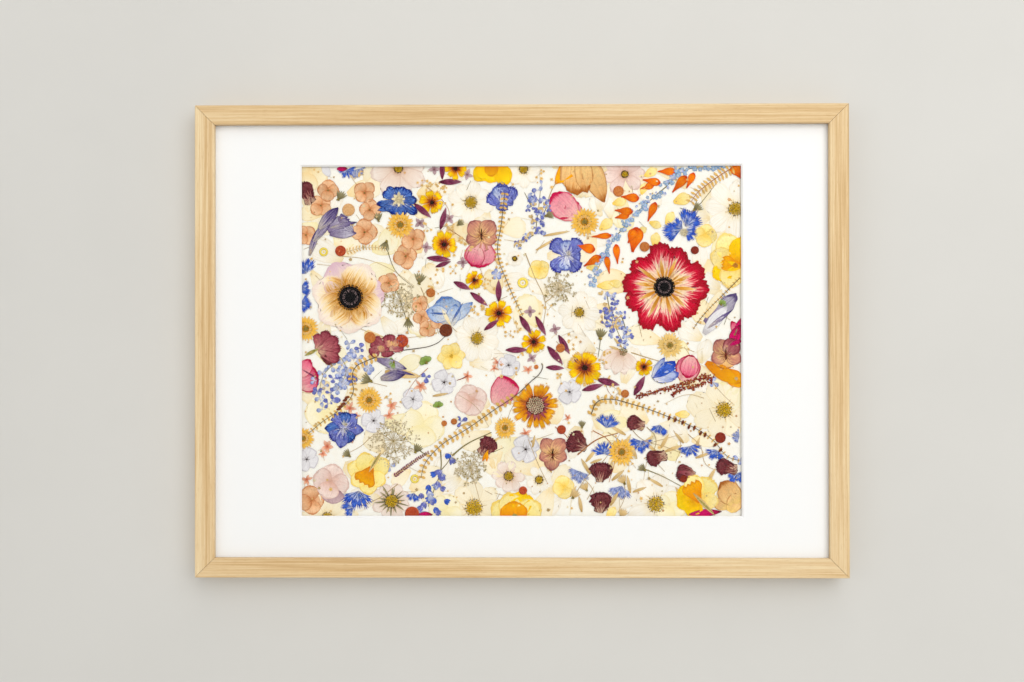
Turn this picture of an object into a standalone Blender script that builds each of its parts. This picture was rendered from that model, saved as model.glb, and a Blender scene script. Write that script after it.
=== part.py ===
# Pressed flower picture in a mitred oak frame, made to hang flat on a wall.
# Metres. +X is right and +Z is up as the picture is seen, and its face looks towards -Y.
# The origin is on the wall plane, in the middle of the top rail's back face.

import math

import bmesh
import bpy
from mathutils import Matrix, Vector

MM = 0.001
GAP = 0.3 * MM  # air between neighbouring pieces

# Oak frame
FRAME_WIDTH = 724 * MM
FRAME_HEIGHT = 524 * MM
FRAME_DEPTH = 30 * MM
RAIL_WALL = 12 * MM  # rail outside the rebate
RAIL_LIP = 9.5 * MM  # rail that laps over the glass
LIP_DEPTH = 6 * MM
ARRIS = 0.7 * MM
MITRE_SETBACK = 0.2 * MM

# Sheets in the rebate, front to back
REBATE_WIDTH = FRAME_WIDTH - 2 * RAIL_WALL
REBATE_HEIGHT = FRAME_HEIGHT - 2 * RAIL_WALL
GLASS_THICKNESS = 2 * MM
MAT_THICKNESS = 1.8 * MM
WINDOW_WIDTH = 490 * MM
WINDOW_HEIGHT = 390 * MM
FLOWER_THICKNESS = 0.7 * MM
BED_THICKNESS = 1 * MM
BED_LAP = 5 * MM  # how far the pressed bed runs under the mat
BOARD_THICKNESS = 3 * MM
BACKING_THICKNESS = 3 * MM

GLASS_FRONT = LIP_DEPTH + GAP
MAT_FRONT = GLASS_FRONT + GLASS_THICKNESS + GAP
FLOWER_FRONT = MAT_FRONT + MAT_THICKNESS + GAP
BED_FRONT = FLOWER_FRONT + FLOWER_THICKNESS + GAP
BOARD_FRONT = BED_FRONT + BED_THICKNESS + GAP
BACKING_FRONT = BOARD_FRONT + BOARD_THICKNESS + GAP
BACKING_BACK = BACKING_FRONT + BACKING_THICKNESS

# Steel points that hold the sheets in
POINT_WIDTH = 12 * MM
POINT_LENGTH = 18 * MM
POINT_THICKNESS = 0.6 * MM
POINT_IN_RAIL = 5.5 * MM
POINT_CORNER = 4 * MM
POINTS_ALONG_WIDTH = (-220 * MM, 0.0, 220 * MM)
POINTS_ALONG_HEIGHT = (-110 * MM, 110 * MM)

# Sawtooth hangers on the backing board
HANGER_SPACING = 360 * MM
HANGER_DROP = 44 * MM  # below the rebate's top
HANGER_HEIGHT = 13 * MM
HANGER_THICKNESS = 1 * MM
HANGER_RISE = 2.6 * MM
HANGER_FOOT = 10 * MM
HANGER_RAMP = 3 * MM
TOOTH_PITCH = 2 * MM
TOOTH_COUNT = 10
RIVET_HEAD = 3.2 * MM
RIVET_SHANK = 1.5 * MM
RIVET_HOLE = 1.8 * MM
RIVET_IN_BOARD = 2 * MM

# The frame's centre below the origin
CENTRE = Vector((0, 0, -(FRAME_HEIGHT - RAIL_WALL) / 2))


def clear_scene():
    for old in list(bpy.data.objects):
        bpy.data.objects.remove(old, do_unlink=True)


def finish(name, colour, roughness=0.6, metallic=0.0):
    """A Principled material for one kind of piece."""
    material = bpy.data.materials.get(name) or bpy.data.materials.new(name)
    material.use_nodes = True
    material.diffuse_color = (*colour, 1)
    shader = material.node_tree.nodes["Principled BSDF"]
    shader.inputs["Base Color"].default_value = (*colour, 1)
    shader.inputs["Roughness"].default_value = roughness
    shader.inputs["Metallic"].default_value = metallic
    return material


def add_object(name, bm, material):
    """Turn a bmesh into a named object in the scene."""
    bmesh.ops.recalc_face_normals(bm, faces=bm.faces)
    mesh = bpy.data.meshes.new(name)
    bm.to_mesh(mesh)
    bm.free()
    mesh.materials.append(material)
    part = bpy.data.objects.new(name, mesh)
    bpy.context.scene.collection.objects.link(part)
    return part


def at(x, z, depth):
    """A point given from the picture's centre and from the frame's front face."""
    return Vector((x, depth - FRAME_DEPTH, z)) + CENTRE


def extruded(outline, front, thickness):
    """A bmesh plate whose (x, z) outline is swept back from the given depth."""
    bm = bmesh.new()
    face = bm.faces.new([bm.verts.new(at(x, z, front)) for x, z in outline])
    swept = bmesh.ops.extrude_face_region(bm, geom=[face])["geom"]
    moved = [item for item in swept if isinstance(item, bmesh.types.BMVert)]
    bmesh.ops.translate(bm, verts=moved, vec=(0, thickness, 0))
    return bm


def rectangle(width, height, x=0.0, z=0.0):
    w, h = width / 2, height / 2
    return [(x - w, z - h), (x + w, z - h), (x + w, z + h), (x - w, z + h)]


def add_cutter(name, bm, target):
    """Cut a shape out of a piece, and keep the cutter out of the part."""
    cutter = add_object(name, bm, finish("cutter", (1, 0, 0)))
    cutter.hide_render = True
    cutter.display_type = "WIRE"
    cut = target.modifiers.new(name, "BOOLEAN")
    cut.operation = "DIFFERENCE"
    cut.solver = "EXACT"
    cut.object = cutter


# --- oak frame ---------------------------------------------------------------


def rail_profile():
    """(inwards from the outer edge, back from the front face), round the section."""
    face = RAIL_WALL + RAIL_LIP
    return [
        (0, ARRIS),
        (ARRIS, 0),
        (face - ARRIS, 0),
        (face, ARRIS),
        (face, LIP_DEPTH),
        (RAIL_WALL, LIP_DEPTH),
        (RAIL_WALL, FRAME_DEPTH),
        (0, FRAME_DEPTH),
    ]


def rail_point(side, along, out, depth):
    """A point of one of the four rails, from its own length and outward directions."""
    x, z = {
        "top": (along, out),
        "bottom": (-along, -out),
        "left": (-out, along),
        "right": (out, -along),
    }[side]
    return at(x, z, depth)


def point_slots(side, places, out_edge):
    """The slots that the steel points are driven into, as one mesh of boxes."""
    bm = bmesh.new()
    inner = out_edge - RAIL_WALL
    low = BACKING_BACK
    high = BACKING_BACK + POINT_THICKNESS + 2 * GAP
    half = POINT_WIDTH / 2 + GAP
    for place in places:
        corners = [
            bm.verts.new(rail_point(side, along, out, depth))
            for along in (place - half, place + half)
            for out in (inner - 1 * MM, inner + POINT_IN_RAIL + GAP)
            for depth in (low, high)
        ]
        bmesh.ops.convex_hull(bm, input=corners)
    return bm


def make_rail(side, length, across, places):
    """One mitred rail: its section swept between two 45 degree cuts."""
    bm = bmesh.new()
    ends = []
    for way in (-1, 1):
        ring = []
        for inwards, depth in rail_profile():
            reach = length / 2 - inwards - MITRE_SETBACK
            ring.append(bm.verts.new(rail_point(side, way * reach, across / 2 - inwards, depth)))
        ends.append(ring)
        bm.faces.new(ring)
    first, last = ends
    for i in range(len(first)):
        j = (i + 1) % len(first)
        bm.faces.new([first[i], first[j], last[j], last[i]])
    rail = add_object(f"rail_{side}", bm, finish("oak", (0.73, 0.52, 0.30), 0.55))
    add_cutter(f"slots_{side}", point_slots(side, places, across / 2), rail)


def make_frame():
    make_rail("top", FRAME_WIDTH, FRAME_HEIGHT, POINTS_ALONG_WIDTH)
    make_rail("bottom", FRAME_WIDTH, FRAME_HEIGHT, POINTS_ALONG_WIDTH)
    make_rail("left", FRAME_HEIGHT, FRAME_WIDTH, POINTS_ALONG_HEIGHT)
    make_rail("right", FRAME_HEIGHT, FRAME_WIDTH, POINTS_ALONG_HEIGHT)


# --- sheets in the rebate ----------------------------------------------------


def make_sheet(name, front, thickness, material):
    outline = rectangle(REBATE_WIDTH - 2 * GAP, REBATE_HEIGHT - 2 * GAP)
    return add_object(name, extruded(outline, front, thickness), material)


def make_mat():
    """White mat board with a window whose edge is bevelled at 45 degrees."""
    bm = bmesh.new()
    outer = (REBATE_WIDTH - 2 * GAP, REBATE_HEIGHT - 2 * GAP)
    wide = (WINDOW_WIDTH + 2 * MAT_THICKNESS, WINDOW_HEIGHT + 2 * MAT_THICKNESS)
    window = (WINDOW_WIDTH, WINDOW_HEIGHT)
    back = MAT_FRONT + MAT_THICKNESS
    loops = []
    for (width, height), depth in ((outer, MAT_FRONT), (wide, MAT_FRONT), (window, back), (outer, back)):
        loops.append([bm.verts.new(at(x, z, depth)) for x, z in rectangle(width, height)])
    for one, other in zip(loops, loops[1:] + loops[:1]):
        for i in range(4):
            j = (i + 1) % 4
            bm.faces.new([one[i], one[j], other[j], other[i]])
    add_object("mat_board", bm, finish("mat", (0.93, 0.93, 0.92), 0.8))


def make_sheets():
    glass = finish("glass", (0.9, 0.95, 0.93), 0.05)
    make_sheet("glazing", GLASS_FRONT, GLASS_THICKNESS, glass)
    make_mat()
    bed = rectangle(WINDOW_WIDTH + 2 * BED_LAP, WINDOW_HEIGHT + 2 * BED_LAP)
    bed_mesh = extruded(bed, BED_FRONT, BED_THICKNESS)
    add_object("small_flowers_and_sprigs", bed_mesh, finish("petal_cream", (0.93, 0.85, 0.68)))
    make_sheet("flower_board", BOARD_FRONT, BOARD_THICKNESS, finish("board", (0.95, 0.94, 0.9)))
    fibre = finish("fibreboard", (0.42, 0.28, 0.16), 0.8)
    return make_sheet("backing_board", BACKING_FRONT, BACKING_THICKNESS, fibre)


# --- steel points and hangers ------------------------------------------------


def make_point(side, number, place, across):
    """A thin steel tongue, driven into the rail and bent flat over the backing."""
    inner = across / 2 - RAIL_WALL
    near, far = inner - POINT_LENGTH + POINT_IN_RAIL, inner + POINT_IN_RAIL
    half = POINT_WIDTH / 2
    outline = [(place - half, far), (place + half, far)]
    for way, turn in ((1, 0), (-1, 90)):
        for step in range(4):
            angle = math.radians(turn + 30 * step)
            outline.append(
                (
                    place + way * (half - POINT_CORNER) + POINT_CORNER * math.cos(angle),
                    near + POINT_CORNER - POINT_CORNER * math.sin(angle),
                )
            )
    bm = bmesh.new()
    front = BACKING_BACK + GAP
    face = bm.faces.new([bm.verts.new(rail_point(side, a, out, front)) for a, out in outline])
    swept = bmesh.ops.extrude_face_region(bm, geom=[face])["geom"]
    moved = [item for item in swept if isinstance(item, bmesh.types.BMVert)]
    bmesh.ops.translate(bm, verts=moved, vec=(0, POINT_THICKNESS, 0))
    add_object(f"steel_point_{side}_{number}", bm, finish("steel", (0.55, 0.55, 0.55), 0.35, 1))


def make_points():
    for side, places, across in (
        ("top", POINTS_ALONG_WIDTH, FRAME_HEIGHT),
        ("bottom", POINTS_ALONG_WIDTH, FRAME_HEIGHT),
        ("left", POINTS_ALONG_HEIGHT, FRAME_WIDTH),
        ("right", POINTS_ALONG_HEIGHT, FRAME_WIDTH),
    ):
        for number, place in enumerate(places, 1):
            make_point(side, number, place, across)


def hanger_stations():
    """(x, rise, tooth) along half-open steps of the strap, from one end to the other."""
    teeth = TOOTH_COUNT * TOOTH_PITCH / 2
    foot = teeth + HANGER_RAMP
    end = foot + HANGER_FOOT
    stations = [(-end, 0, 0), (-foot, 0, 0)]
    for step in range(2 * TOOTH_COUNT + 1):
        tooth = TOOTH_PITCH / 2 * (step % 2)
        stations.append((-teeth + step * TOOTH_PITCH / 2, HANGER_RISE, tooth))
    stations += [(foot, 0, 0), (end, 0, 0)]
    return stations


def rivet_places(centre_x):
    reach = TOOTH_COUNT * TOOTH_PITCH / 2 + HANGER_RAMP + HANGER_FOOT / 2
    return (centre_x - reach, centre_x + reach)


def drill(bm, x, z, radius, front, back):
    """Add a cylinder along Y to a cutter mesh."""
    made = bmesh.ops.create_cone(
        bm, cap_ends=True, segments=16, radius1=radius, radius2=radius, depth=back - front
    )["verts"]
    bmesh.ops.rotate(bm, verts=made, matrix=Matrix.Rotation(math.radians(90), 3, "X"))
    bmesh.ops.translate(bm, verts=made, vec=at(x, z, (front + back) / 2))


def make_hanger(name, centre_x, centre_z):
    """A strap with two flat feet and a raised middle, toothed on its lower edge."""
    bm = bmesh.new()
    foot_front = BACKING_BACK + GAP
    rings = []
    for x, rise, tooth in hanger_stations():
        top = centre_z + HANGER_HEIGHT / 2
        low = centre_z - HANGER_HEIGHT / 2 + tooth
        near = foot_front + rise
        far = near + HANGER_THICKNESS
        section = ((top, near), (top, far), (low, far), (low, near))
        rings.append([bm.verts.new(at(centre_x + x, z, depth)) for z, depth in section])
    bm.faces.new(rings[0])
    bm.faces.new(rings[-1])
    for one, other in zip(rings, rings[1:]):
        for i in range(4):
            j = (i + 1) % 4
            bm.faces.new([one[i], one[j], other[j], other[i]])
    hanger = add_object(name, bm, finish("steel", (0.55, 0.55, 0.55), 0.35, 1))
    holes = bmesh.new()
    for x in rivet_places(centre_x):
        drill(holes, x, centre_z, RIVET_HOLE, foot_front - GAP / 2, foot_front + 2 * HANGER_THICKNESS)
    add_cutter(f"{name}_holes", holes, hanger)


def make_rivet(name, x, z):
    """A domed head on a shank, turned about the rivet's own axis."""
    head_front = BACKING_BACK + HANGER_THICKNESS + 2 * GAP
    shank_front = BACKING_BACK - RIVET_IN_BOARD
    profile = [
        (0, shank_front),
        (RIVET_SHANK, shank_front),
        (RIVET_SHANK, head_front),
        (RIVET_HEAD, head_front),
        (RIVET_HEAD * 0.8, head_front + 0.9 * MM),
        (0, head_front + 1.3 * MM),
    ]
    bm = bmesh.new()
    points = [bm.verts.new(at(x + radius, z, depth)) for radius, depth in profile]
    edges = [bm.edges.new(pair) for pair in zip(points, points[1:])]
    bmesh.ops.spin(
        bm, geom=points + edges, cent=at(x, z, 0), axis=(0, 1, 0), angle=math.tau, steps=16, use_merge=True
    )
    bmesh.ops.remove_doubles(bm, verts=bm.verts, dist=0.01 * MM)
    rivet = add_object(name, bm, finish("steel", (0.55, 0.55, 0.55), 0.35, 1))
    rivet.data.shade_smooth()
    rivet.data.set_sharp_from_angle(angle=math.radians(35))


def make_hangers(backing):
    z = REBATE_HEIGHT / 2 - HANGER_DROP
    holes = bmesh.new()
    for side, way in (("left", -1), ("right", 1)):
        centre_x = way * HANGER_SPACING / 2
        make_hanger(f"hanger_{side}", centre_x, z)
        for number, x in enumerate(rivet_places(centre_x), 1):
            make_rivet(f"rivet_{side}_{number}", x, z)
            drill(holes, x, z, RIVET_HOLE, BACKING_BACK - RIVET_IN_BOARD - GAP, BACKING_BACK + 1 * MM)
    add_cutter("backing_holes", holes, backing)


# --- main pressed flowers ----------------------------------------------------
# Places are millimetres from the picture's centre, x to the right and z up.

COLOURS = {
    "petal_blush": (0.93, 0.80, 0.70),
    "petal_red": (0.70, 0.03, 0.07),
    "petal_yellow": (0.95, 0.68, 0.05),
    "petal_orange": (0.90, 0.45, 0.08),
    "petal_peach": (0.88, 0.55, 0.28),
    "petal_blue": (0.15, 0.22, 0.60),
    "petal_pink": (0.88, 0.35, 0.40),
    "petal_brown": (0.60, 0.28, 0.20),
    "petal_burgundy": (0.25, 0.05, 0.07),
}

# Round flowers: name, colour, centre x, z, outer radius, notch radius, petals
ROUND_FLOWERS = [
    ("anemone_blush", "petal_blush", -191, 49, 42, 37, 8),
    ("anemone_red", "petal_red", 160.5, 60, 49, 44, 13),
    ("blanket_flower", "petal_orange", 16, -72, 24, 18, 12),
    ("strawflower_left_top", "petal_orange", -135, 130, 15, 13, 16),
    ("strawflower_centre", "petal_orange", 71, 133, 16, 14, 16),
    ("strawflower_left_low", "petal_orange", -170, -66, 14.5, 12.5, 16),
    ("strawflower_right_low", "petal_orange", 112, -124, 15.5, 13.5, 16),
    ("coreopsis_1", "petal_yellow", -99, 155, 13.5, 9.5, 7),
    ("coreopsis_2", "petal_yellow", -86, 108, 15, 11, 8),
    ("coreopsis_3", "petal_yellow", -24, 31, 15, 9.5, 7),
    ("coreopsis_4", "petal_yellow", 14, -1, 14, 10, 8),
    ("coreopsis_5", "petal_yellow", 71, -30, 19.5, 14, 8),
]

# Other flowers: name, colour, and the few points that their outline needs
SHAPED_FLOWERS = [
    ("gentian_blue", "petal_blue",
     [(-147, 172), (-141, 167), (-134, 169), (-127, 167), (-125, 159), (-117, 154), (-121, 143), (-128, 148),
      (-136, 148), (-147, 146), (-155, 146), (-160, 150), (-152, 154), (-158, 160), (-150, 163)]),
    ("larkspur_top", "petal_blue",
     [(-20, 177), (-15, 173), (-8, 169), (-9, 160), (-10, 152), (-14, 147), (-20, 147), (-27, 151), (-33, 158),
      (-36, 166), (-28, 173)]),
    ("larkspur_centre", "petal_blue",
     [(36, 109), (43, 107), (51, 111), (59, 111), (61, 104), (64, 98), (64, 86), (57, 84), (53, 79), (46, 81),
      (37, 82), (39, 91), (37, 101)]),
    ("larkspur_left", "petal_blue",
     [(-207, -83), (-199, -84), (-192, -82), (-187, -88), (-181, -99), (-188, -103), (-196, -105), (-199, -114),
      (-204, -116), (-209, -109), (-218, -99), (-211, -90)]),
    ("harebell", "petal_blue",
     [(-105, 40), (-97, 42), (-91, 48), (-83, 50), (-74, 47), (-70, 43), (-60, 46), (-64, 37), (-71, 26),
      (-76, 16), (-80, 23), (-90, 23), (-99, 29)]),
    ("crocus_blue", "petal_blue",
     [(159, -19), (162, -27), (168, -31), (172, -37), (168, -46), (158, -48), (149, -46), (147, -36),
      (149, -28), (154, -21)]),
    ("cornflower", "petal_blue",
     [(184, 143), (190, 140), (193, 133), (197, 130), (191, 126), (191, 119), (183, 117), (172, 113),
      (166, 118), (161, 122), (162, 129), (171, 128), (177, 132)]),
    ("tulip_peach", "petal_peach",
     [(42, 172), (44, 181), (52, 190), (62, 198), (84, 198), (91, 189), (92, 172), (91, 155), (87, 157),
      (83, 163), (73, 164), (62, 162), (60, 169), (53, 173)]),
    ("rose_petal_top", "petal_pink",
     [(33, 152), (34, 160), (39, 166), (47, 168), (55, 164), (61, 157), (61, 151), (56, 146), (53, 138),
      (45, 137), (43, 143), (37, 146)]),
    ("rose_petal_left", "petal_pink",
     [(-61, 108), (-54, 103), (-48, 98), (-38, 97), (-30, 98), (-31, 91), (-38, 85), (-46, 83), (-55, 88),
      (-62, 98)]),
    ("rose_petal_middle", "petal_pink",
     [(-15, -42), (-9, -45), (-6, -52), (-8, -60), (-12, -69), (-21, -74), (-30, -74), (-36, -63), (-34, -53),
      (-25, -47)]),
    ("rose_petal_right", "petal_pink",
     [(175, -30), (177, -20), (184, -16), (193, -17), (199, -24), (199, -34), (195, -43), (187, -46),
      (179, -41)]),
    ("pansy_top", "petal_brown",
     [(-44, 138), (-35, 135), (-29, 127), (-30, 116), (-34, 110), (-35, 103), (-43, 101), (-50, 108),
      (-58, 113), (-60, 123), (-56, 133)]),
    ("pansy_bottom", "petal_brown",
     [(31, -109), (40, -110), (48, -117), (49, -126), (43, -134), (41, -142), (33, -143), (26, -136),
      (25, -129), (21, -122), (24, -113)]),
    ("pansy_right", "petal_brown",
     [(222, -1), (232, 0), (241, -5), (244, -15), (240, -26), (231, -30), (221, -31), (214, -24), (213, -9)]),
    ("daffodil_left", "petal_yellow",
     [(-183, -129), (-172, -127), (-159, -131), (-151, -141), (-154, -152), (-162, -161), (-173, -165),
      (-184, -159), (-194, -147), (-190, -136)]),
    ("daffodil_right", "petal_yellow",
     [(204, -153), (212, -158), (215, -167), (213, -179), (206, -188), (193, -191), (182, -186), (177, -177),
      (182, -168), (185, -161), (194, -158)]),
    ("poppy_yellow", "petal_yellow",
     [(-30, -187), (-26, -177), (-15, -170), (-6, -169), (4, -172), (14, -176), (18, -187), (18, -198),
      (-28, -198)]),
    ("buttercup_right", "petal_yellow",
     [(220, 111), (230, 116), (248, 115), (248, 65), (233, 64), (221, 69), (215, 79), (212, 91), (214, 102)]),
    ("carnation_maroon", "petal_burgundy",
     [(-230, 8), (-225, 5), (-217, 9), (-211, 3), (-204, -2), (-203, -12), (-210, -20), (-220, -20),
      (-230, -14), (-231, -3)]),
    ("tulip_petal_1", "petal_burgundy",
     [(53, -98), (61, -98), (66, -104), (74, -107), (68, -113), (66, -119), (59, -122), (52, -118), (50, -108)]),
    ("tulip_petal_2", "petal_burgundy",
     [(83, -137), (93, -135), (100, -141), (98, -150), (91, -157), (81, -154), (77, -147)]),
    ("tulip_petal_3", "petal_burgundy",
     [(179, -139), (188, -141), (194, -148), (189, -153), (182, -154), (174, -150), (172, -143)]),
]


def notched_round(x, z, outer, notch, petals):
    """A flower's outline: a circle that dips in between its petals."""
    points = []
    steps = petals * 4
    for step in range(steps):
        angle = math.tau * step / steps
        dip = abs(math.sin(petals * angle / 2)) ** 0.6
        radius = notch + (outer - notch) * dip
        points.append(((x + radius * math.cos(angle)) * MM, (z + radius * math.sin(angle)) * MM))
    return points


def smooth_round(corners):
    """The outline through the given points, with a Catmull-Rom point between each two."""
    points = []
    count = len(corners)
    for i in range(count):
        a, b, c, d = (Vector(corners[(i + k) % count]) for k in (-1, 0, 1, 2))
        between = (9 * (b + c) - (a + d)) / 16
        points += [(b.x * MM, b.y * MM), (between.x * MM, between.y * MM)]
    return points


def make_flower(name, colour, outline):
    material = finish(colour, COLOURS[colour], 0.8)
    add_object(name, extruded(outline, FLOWER_FRONT, FLOWER_THICKNESS), material)


def make_flowers():
    for name, colour, x, z, outer, notch, petals in ROUND_FLOWERS:
        make_flower(name, colour, notched_round(x, z, outer, notch, petals))
    for name, colour, corners in SHAPED_FLOWERS:
        make_flower(name, colour, smooth_round(corners))


clear_scene()
make_frame()
make_hangers(make_sheets())
make_points()
make_flowers()
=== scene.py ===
import math
import random

import bmesh
import bpy
from mathutils import Euler, Matrix, Vector


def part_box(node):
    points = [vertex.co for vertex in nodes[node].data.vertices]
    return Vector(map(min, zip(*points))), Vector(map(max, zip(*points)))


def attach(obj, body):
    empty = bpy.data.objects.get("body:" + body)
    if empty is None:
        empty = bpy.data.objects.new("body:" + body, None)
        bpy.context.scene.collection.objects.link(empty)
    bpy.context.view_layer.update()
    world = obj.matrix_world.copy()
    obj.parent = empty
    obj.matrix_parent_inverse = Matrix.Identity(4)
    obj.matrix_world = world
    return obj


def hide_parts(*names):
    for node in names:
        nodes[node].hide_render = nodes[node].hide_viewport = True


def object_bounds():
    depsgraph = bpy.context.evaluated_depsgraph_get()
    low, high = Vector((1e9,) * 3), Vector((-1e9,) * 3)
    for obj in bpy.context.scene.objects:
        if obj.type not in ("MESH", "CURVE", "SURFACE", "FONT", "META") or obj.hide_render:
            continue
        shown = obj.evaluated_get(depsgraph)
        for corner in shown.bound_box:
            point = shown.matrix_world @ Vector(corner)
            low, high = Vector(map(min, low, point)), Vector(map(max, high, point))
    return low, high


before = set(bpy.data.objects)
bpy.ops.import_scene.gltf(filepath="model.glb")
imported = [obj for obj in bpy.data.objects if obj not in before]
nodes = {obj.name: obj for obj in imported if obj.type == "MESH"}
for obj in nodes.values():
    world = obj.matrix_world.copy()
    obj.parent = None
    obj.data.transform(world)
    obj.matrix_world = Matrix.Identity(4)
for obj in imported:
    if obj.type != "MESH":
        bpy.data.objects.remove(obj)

# where things are: millimetres from the middle of the window, as it hangs
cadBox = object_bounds()
lowCorner, highCorner = cadBox
centreX = (lowCorner.x + highCorner.x) / 2
centreZ = (lowCorner.z + highCorner.z) / 2
frontY = lowCorner.y
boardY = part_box("flower_board")[0].y  # the face the flowers lie on
dice = random.Random(1907)
masters = []
bedNode = "small_flowers_and_sprigs"


def inRoom(x, z, ahead):
    # a place in the room: mm right of and above the middle, and ahead of the frame's face
    return Vector((centreX + x / 1000, frontY - ahead / 1000, centreZ + z / 1000))


def nodeSpot(node):
    # middle and half width of a CAD flower, in mm on the flower board
    low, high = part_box(node)
    return (((low.x + high.x) / 2 - centreX) * 1000, ((low.z + high.z) / 2 - centreZ) * 1000,
            (high.x - low.x) * 500)


def onward(x, z, way, reach):
    # the place this far from x, z; way in degrees
    turn = math.radians(way)
    return x + reach * math.cos(turn), z + reach * math.sin(turn)


# everything pressed is laid out flat in mm (x right, y up, z off the board) and stood up at the end
pressToFrame = (Matrix.Translation((centreX, boardY, centreZ))
                @ Matrix.Rotation(math.radians(90), 4, "X")
                @ Matrix.Diagonal((0.001, 0.001, 0.001, 1)))

# camera, light and room
cameraSet = {"lens": 35, "x": 1.3, "z": -3.9, "ahead": 1100.6,
             "pitch": 90.198, "yaw": 0.588, "roll": -0.06}

camera = bpy.data.objects.new("camera", bpy.data.cameras.new("camera"))
bpy.context.scene.collection.objects.link(camera)
camera.data.lens = cameraSet["lens"]
camera.data.sensor_width = 36
aim = Euler((math.radians(cameraSet["pitch"]), 0, math.radians(cameraSet["yaw"]))).to_matrix()
aim = aim @ Matrix.Rotation(math.radians(cameraSet["roll"]), 3, "Z")
camera.matrix_world = (Matrix.Translation(inRoom(cameraSet["x"], cameraSet["z"], cameraSet["ahead"]))
                       @ aim.to_4x4())
bpy.context.scene.camera = camera
bpy.context.scene.view_settings.view_transform = "Standard"

lamps = {
    "key_softbox": {"from": (1000, 850, 2600), "size": 2.6, "power": 55, "tint": (1.0, 0.992, 0.975)},
    "left_softbox": {"from": (-2300, 200, 2400), "size": 1.8, "power": 9, "tint": (1.0, 0.995, 0.985)},
    "top_softbox": {"from": (200, 2500, 1700), "size": 1.6, "power": 14, "tint": (1.0, 0.995, 0.985)},
    "back_softbox": {"from": (-1500, 1200, -2200), "size": 1.8, "power": 60, "tint": (1.0, 0.98, 0.96)},
}
for lampName, lamp in lamps.items():
    light = bpy.data.lights.new(lampName, "AREA")
    light.shape = "SQUARE"
    light.size = lamp["size"]
    light.energy = lamp["power"]
    light.color = lamp["tint"]
    holder = bpy.data.objects.new(lampName, light)
    holder.location = inRoom(*lamp["from"])
    mirrored = lampName in ("top_softbox", "back_softbox")  # keeps the front lamps out of the glass
    holder.visible_glossy = mirrored
    holder.visible_transmission = mirrored
    holder.rotation_euler = (inRoom(0, 0, 0) - holder.location).to_track_quat("-Z", "Y").to_euler()
    bpy.context.scene.collection.objects.link(holder)

world = bpy.data.worlds.new("studio")
world.use_nodes = True
world.node_tree.nodes["Background"].inputs["Color"].default_value = (1.0, 0.99, 0.97, 1)
world.node_tree.nodes["Background"].inputs["Strength"].default_value = 0.47
bpy.context.scene.world = world
print("camera and lamps are set")


# finishes
def tone(rgb):
    # a colour as seen on a screen, as Blender counts it and a little duller
    return tuple((c / 255) ** 2.2 * 0.93 for c in rgb) + (1,)


def addNode(tree, kind, inputs=None, **settings):
    node = tree.nodes.new("ShaderNode" + kind)
    for key, value in settings.items():
        setattr(node, key, value)
    for socket, value in (inputs or {}).items():
        if isinstance(value, bpy.types.NodeSocket):
            tree.links.new(value, node.inputs[socket])
        else:
            node.inputs[socket].default_value = value
    return node


def rampOf(tree, factor, stops):
    ramp = addNode(tree, "ValToRGB", {"Fac": factor})
    marks = ramp.color_ramp.elements
    while len(marks) < len(stops):
        marks.new(0.5)
    for mark, (position, colour) in zip(marks, stops):
        mark.position = position
        mark.color = tone(colour)
    return ramp.outputs["Color"]


def maths(tree, operation, *values):
    return addNode(tree, "Math", dict(enumerate(values)), operation=operation).outputs[0]


def span(tree, value, low, high, start=0.0, end=1.0, clamp=True):
    # turns the range from start to end into the range from low to high
    return addNode(tree, "MapRange", {"Value": value, "From Min": start, "From Max": end,
                                      "To Min": low, "To Max": high}, clamp=clamp).outputs[0]


def noise(tree, vector, scale, detail, roughness=0.5):
    return addNode(tree, "TexNoise", {"Vector": vector, "Scale": scale, "Detail": detail,
                                      "Roughness": roughness}).outputs["Fac"]


def moved(tree, vector, scale=(1, 1, 1), shift=(0, 0, 0), turn=(0, 0, 0)):
    return addNode(tree, "Mapping", {"Vector": vector, "Location": shift, "Rotation": turn,
                                     "Scale": scale}).outputs[0]


def mixed(tree, amount, first, second):
    return addNode(tree, "MixRGB", {"Fac": amount, "Color1": first, "Color2": second}).outputs[0]


def freshFinish(name, rough, specular, metal=0.0):
    finish = bpy.data.materials.new(name)
    finish.use_nodes = True
    shader = finish.node_tree.nodes["Principled BSDF"]
    shader.inputs["Roughness"].default_value = rough
    shader.inputs["Specular IOR Level"].default_value = specular
    shader.inputs["Metallic"].default_value = metal
    return finish, finish.node_tree, shader


def dress(tree, shader, colour, sheen, height, strength, depth, invert=False):
    # plugs colour, roughness and relief into the shader
    relief = addNode(tree, "Bump", {"Height": height, "Strength": strength, "Distance": depth},
                     invert=invert)
    for socket, value in (("Base Color", colour), ("Roughness", sheen), ("Normal", relief.outputs[0])):
        tree.links.new(value, shader.inputs[socket])


oakSet = {
    # layers of the grain: along, across, detail, roughness
    "layers": {"slow": (2, 60, 2, 0.5), "bands": (3.5, 330, 3, 0.55),
               "lines": (14, 1100, 4, 0.6), "pits": (90, 2600, 2, 0.6)},
    "slow": 0.3, "bands": 0.38, "lines": 0.36, "pits": 0.4,  # how much each one shows
    "tones": [(0.42, (208, 171, 120)), (0.51, (228, 197, 150)), (0.62, (243, 221, 179))],
    "pitTone": (176, 126, 72), "sheen": (0.45, 0.66),
}


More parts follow.
